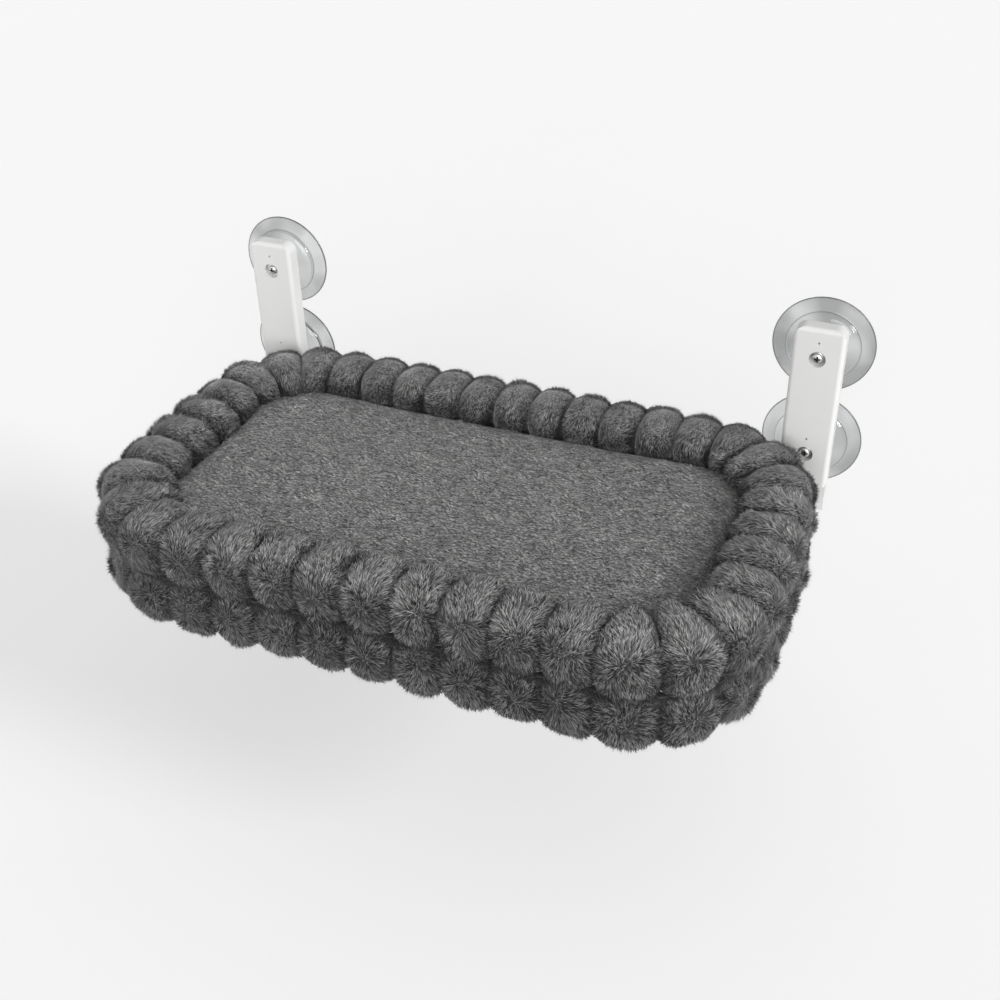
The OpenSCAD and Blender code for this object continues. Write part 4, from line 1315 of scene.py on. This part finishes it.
class PERCH_OT_underside(Operator):
    """Makes the foam core, the stretched cover under the bed and its stitches"""

    bl_idname = "perch.underside"
    bl_label = "Foam core and cover"

    def execute(self, context):
        trim, rolls = context.scene.perch_trim, context.scene.perch_rolls
        plan = BedPlan(rolls)
        low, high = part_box("foam_core")
        inset = low.x - (plan.middle[0] - plan.lx / 2 - rolls.corner_radius)
        foam = rounded_slab("foam_core_cells", plan, inset, (low.z, high.z), FOAM_EDGE, FOAM_EDGE,
                            material=finishes["bed_foam"])
        dress(foam, BED, "foam_core")

        low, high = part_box("bottom_cover")
        half = (high.z - low.z) / 2
        cover = rounded_slab("bottom_cover_cloth", plan, inset, (low.z, high.z), half, half,
                             material=finishes["lining_cloth"])
        stitches = self.sew(plan, inset + trim.stitch_inset, low.z, trim)
        dress(cover, BED, "bottom_cover")
        dress(stitches, BED)
        return {"FINISHED"}

    def sew(self, plan, inset, height, trim):
        """The row of stitches along the cover's edge"""
        number = STITCH_PATH_STEPS
        place, _ = plan.stations(np.arange(number) / number, inset)
        path = bpy.data.meshes.new("stitch_path")
        path.from_pydata([(x, y, height) for x, y in place],
                         [(i, (i + 1) % number) for i in range(number)], [])
        return grow(make_object("bottom_cover_stitches", path), trees["stitches"],
                    pitch=trim.stitch_pitch, stitch_length=trim.stitch_length,
                    radius=trim.stitch_radius, finish=finishes["thread"])


class PERCH_OT_tapes(Operator):
    """Makes the hook tapes on the arms and the loop tapes under the bed"""

    bl_idname = "perch.tapes"
    bl_label = "Hook and loop tapes"

    def execute(self, context):
        trim = context.scene.perch_trim
        hooks = {side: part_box(f"{side}_hook_strip") for side in SIDES}
        for side, box in hooks.items():
            tape = self.tape(f"{side}_hook_tape", [box], 1, trim, HOOK_REACH, HOOK_END, 1,
                             finishes["hook_tape"])
            dress(tape, f"{side}_folding_arm", f"{side}_hook_strip")
        low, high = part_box("loop_strips")
        boxes = [(Vector((a.x, low.y, low.z)), Vector((b.x, high.y, high.z)))
                 for a, b in hooks.values()]
        loops = self.tape("loop_tapes", boxes, -1, trim, LOOP_REACH, LOOP_END, 2,
                          finishes["loop_tape"])
        dress(loops, BED, "loop_strips")
        return {"FINISHED"}

    def tape(self, name, boxes, facing, trim, reach, end, seed, material):
        """Woven bases in boxes, with a bristle on each inner point of the side facing up or down"""
        verts, faces, marks = [], [], []
        for low, high in boxes:
            inner = low.z if facing > 0 else high.z
            x, y = np.meshgrid(*(
                np.linspace(low[k], high[k], int((high[k] - low[k]) / trim.bristle_pitch) + 1)
                for k in (0, 1)
            ), indexing="ij")
            at, layer = np.arange(x.size).reshape(x.shape) + len(verts), x.size
            for z in (inner, inner + facing * trim.tape_base):
                verts += [(a, b, z) for a, b in zip(x.ravel(), y.ravel())]
            inside = (x > low.x) & (x < high.x) & (y > low.y) & (y < high.y)
            marks += [False] * layer + inside.ravel().tolist()
            cells = np.stack([at[:-1, :-1], at[:-1, 1:], at[1:, 1:], at[1:, :-1]], -1).reshape(-1, 4)
            rim = np.concatenate([at[:-1, 0], at[-1, :-1], at[:0:-1, -1], at[0, :0:-1]])
            after = np.roll(rim, -1)
            faces += [*cells, *(cells + layer), *np.stack([rim, after, after + layer, rim + layer], 1)]
        piece = make_piece(name, verts, faces)
        piece.data.shade_flat()
        store(piece.data, "bristly", marks, "BOOLEAN")
        tall = boxes[0][1].z - boxes[0][0].z - trim.tape_base
        return grow(piece, trees["bristles"], tall=tall, reach=trim.bristle_pitch * reach,
                    end_height=tall * end, radius=trim.bristle_radius, seed=seed, finish=material)


# Stage

# From the perch towards the key lamp and the fill lamp
KEY_WAY, FILL_WAY = (7.2, -0.4, 3.6), (1.8, -4.7, 1.7)


class PERCH_OT_stage(Operator):
    """Sets the camera, the lamps, the sky and the floor"""

    bl_idname = "perch.stage"
    bl_label = "Stage"

    def execute(self, context):
        scene, stage = context.scene, context.scene.perch_stage
        camera = bpy.data.objects.new("camera", bpy.data.cameras.new("camera"))
        scene.collection.objects.link(camera)
        turn = (
            Matrix.Rotation(stage.yaw, 4, "Z")
            @ Matrix.Rotation(QUARTER_TURN - stage.pitch, 4, "X")
            @ Matrix.Rotation(stage.roll, 4, "Z")
        )
        camera.matrix_world = Matrix.Translation(stage.eye) @ turn
        camera.data.lens = stage.lens
        camera.data.sensor_width = stage.sensor
        camera.data.sensor_fit = "HORIZONTAL"
        scene.camera = camera
        scene.view_settings.view_transform = "Standard"

        self.lamp("key", KEY_WAY, stage.key, stage.key_spread)
        self.lamp("fill", FILL_WAY, stage.fill, stage.fill_spread)
        self.sky(scene, stage.sky)
        self.floor(stage, scene.perch_colours)
        return {"FINISHED"}

    def lamp(self, name, way, light, spread):
        """A soft far lamp that gives a surface facing it the light asked for"""
        data = bpy.data.lights.new(name, "SUN")
        data.energy = light * math.pi
        data.angle = spread
        lamp = bpy.data.objects.new(name, data)
        lamp.matrix_world = Vector(way).to_track_quat("Z", "Y").to_matrix().to_4x4()
        bpy.context.scene.collection.objects.link(lamp)

    def sky(self, scene, light):
        """A sky that lights the perch from all sides and shows white"""
        scene.world = bpy.data.worlds.new("sky")
        scene.world.use_nodes = True
        nodes = Nodes(scene.world.node_tree)
        nodes.feed(nodes.tree.nodes["Background"], {
            "Color": (1, 1, 1, 1), "Strength": nodes.spread(shown(nodes), light, 1.0),
        })

    def floor(self, stage, colours):
        """A plain pale floor"""
        half, drop = stage.floor_size / 2, -stage.floor_drop
        corners = [(-half, -half, drop), (half, -half, drop), (half, half, drop),
                   (-half, half, drop)]
        pale = finish("pale_floor", floor_paint, colours.floor_low, colours.floor_high, stage.glow)
        make_piece("floor", corners, [(0, 1, 2, 3)], pale, turn_out=False)


class PERCH_PT_panel(Panel):
    """Lists the perch's operators and settings"""

    bl_idname = "PERCH_PT_panel"
    bl_label = "Window perch"
    bl_space_type = "VIEW_3D"
    bl_region_type = "UI"
    bl_category = "Perch"

    def draw(self, context):
        for maker in OPERATORS:
            self.layout.operator(maker.bl_idname)
        for name, group in SETTINGS.items():
            box = self.layout.box()
            for key in group.__annotations__:
                box.prop(getattr(context.scene, name), key)


SETTINGS = {
    "perch_rolls": PerchRolls,
    "perch_pile": PerchPile,
    "perch_mat": PerchMat,
    "perch_trim": PerchTrim,
    "perch_colours": PerchColours,
    "perch_stage": PerchStage,
}
OPERATORS = (
    PERCH_OT_stage,
    PERCH_OT_brackets,
    PERCH_OT_cups,
    PERCH_OT_screws,
    PERCH_OT_upper_roll,
    PERCH_OT_lower_roll,
    PERCH_OT_mat,
    PERCH_OT_underside,
    PERCH_OT_tapes,
)
groups, trees, finishes = {}, {}, {}


def register():
    for group in SETTINGS.values():
        bpy.utils.register_class(group)
    for name, group in SETTINGS.items():
        setattr(bpy.types.Scene, name, PointerProperty(type=group))
    for maker in (*OPERATORS, PERCH_PT_panel):
        bpy.utils.register_class(maker)


def unregister():
    for maker in (PERCH_PT_panel, *reversed(OPERATORS)):
        bpy.utils.unregister_class(maker)
    for name, group in SETTINGS.items():
        delattr(bpy.types.Scene, name)
        bpy.utils.unregister_class(group)


def main():
    register()
    groups.update(pile_tone=pile_tone_group(), moulding=moulding_group(), plain_weave=weave_group())
    trees.update(swell=swell_tree(), pile=pile_tree(), seats=seats_tree(),
                 bristles=bristle_tree(), stitches=stitch_tree())
    finishes.update(make_finishes(bpy.context.scene.perch_colours))
    for maker in OPERATORS:
        family, name = maker.bl_idname.split(".")
        getattr(getattr(bpy.ops, family), name)()


if __name__ == "__main__":
    main()
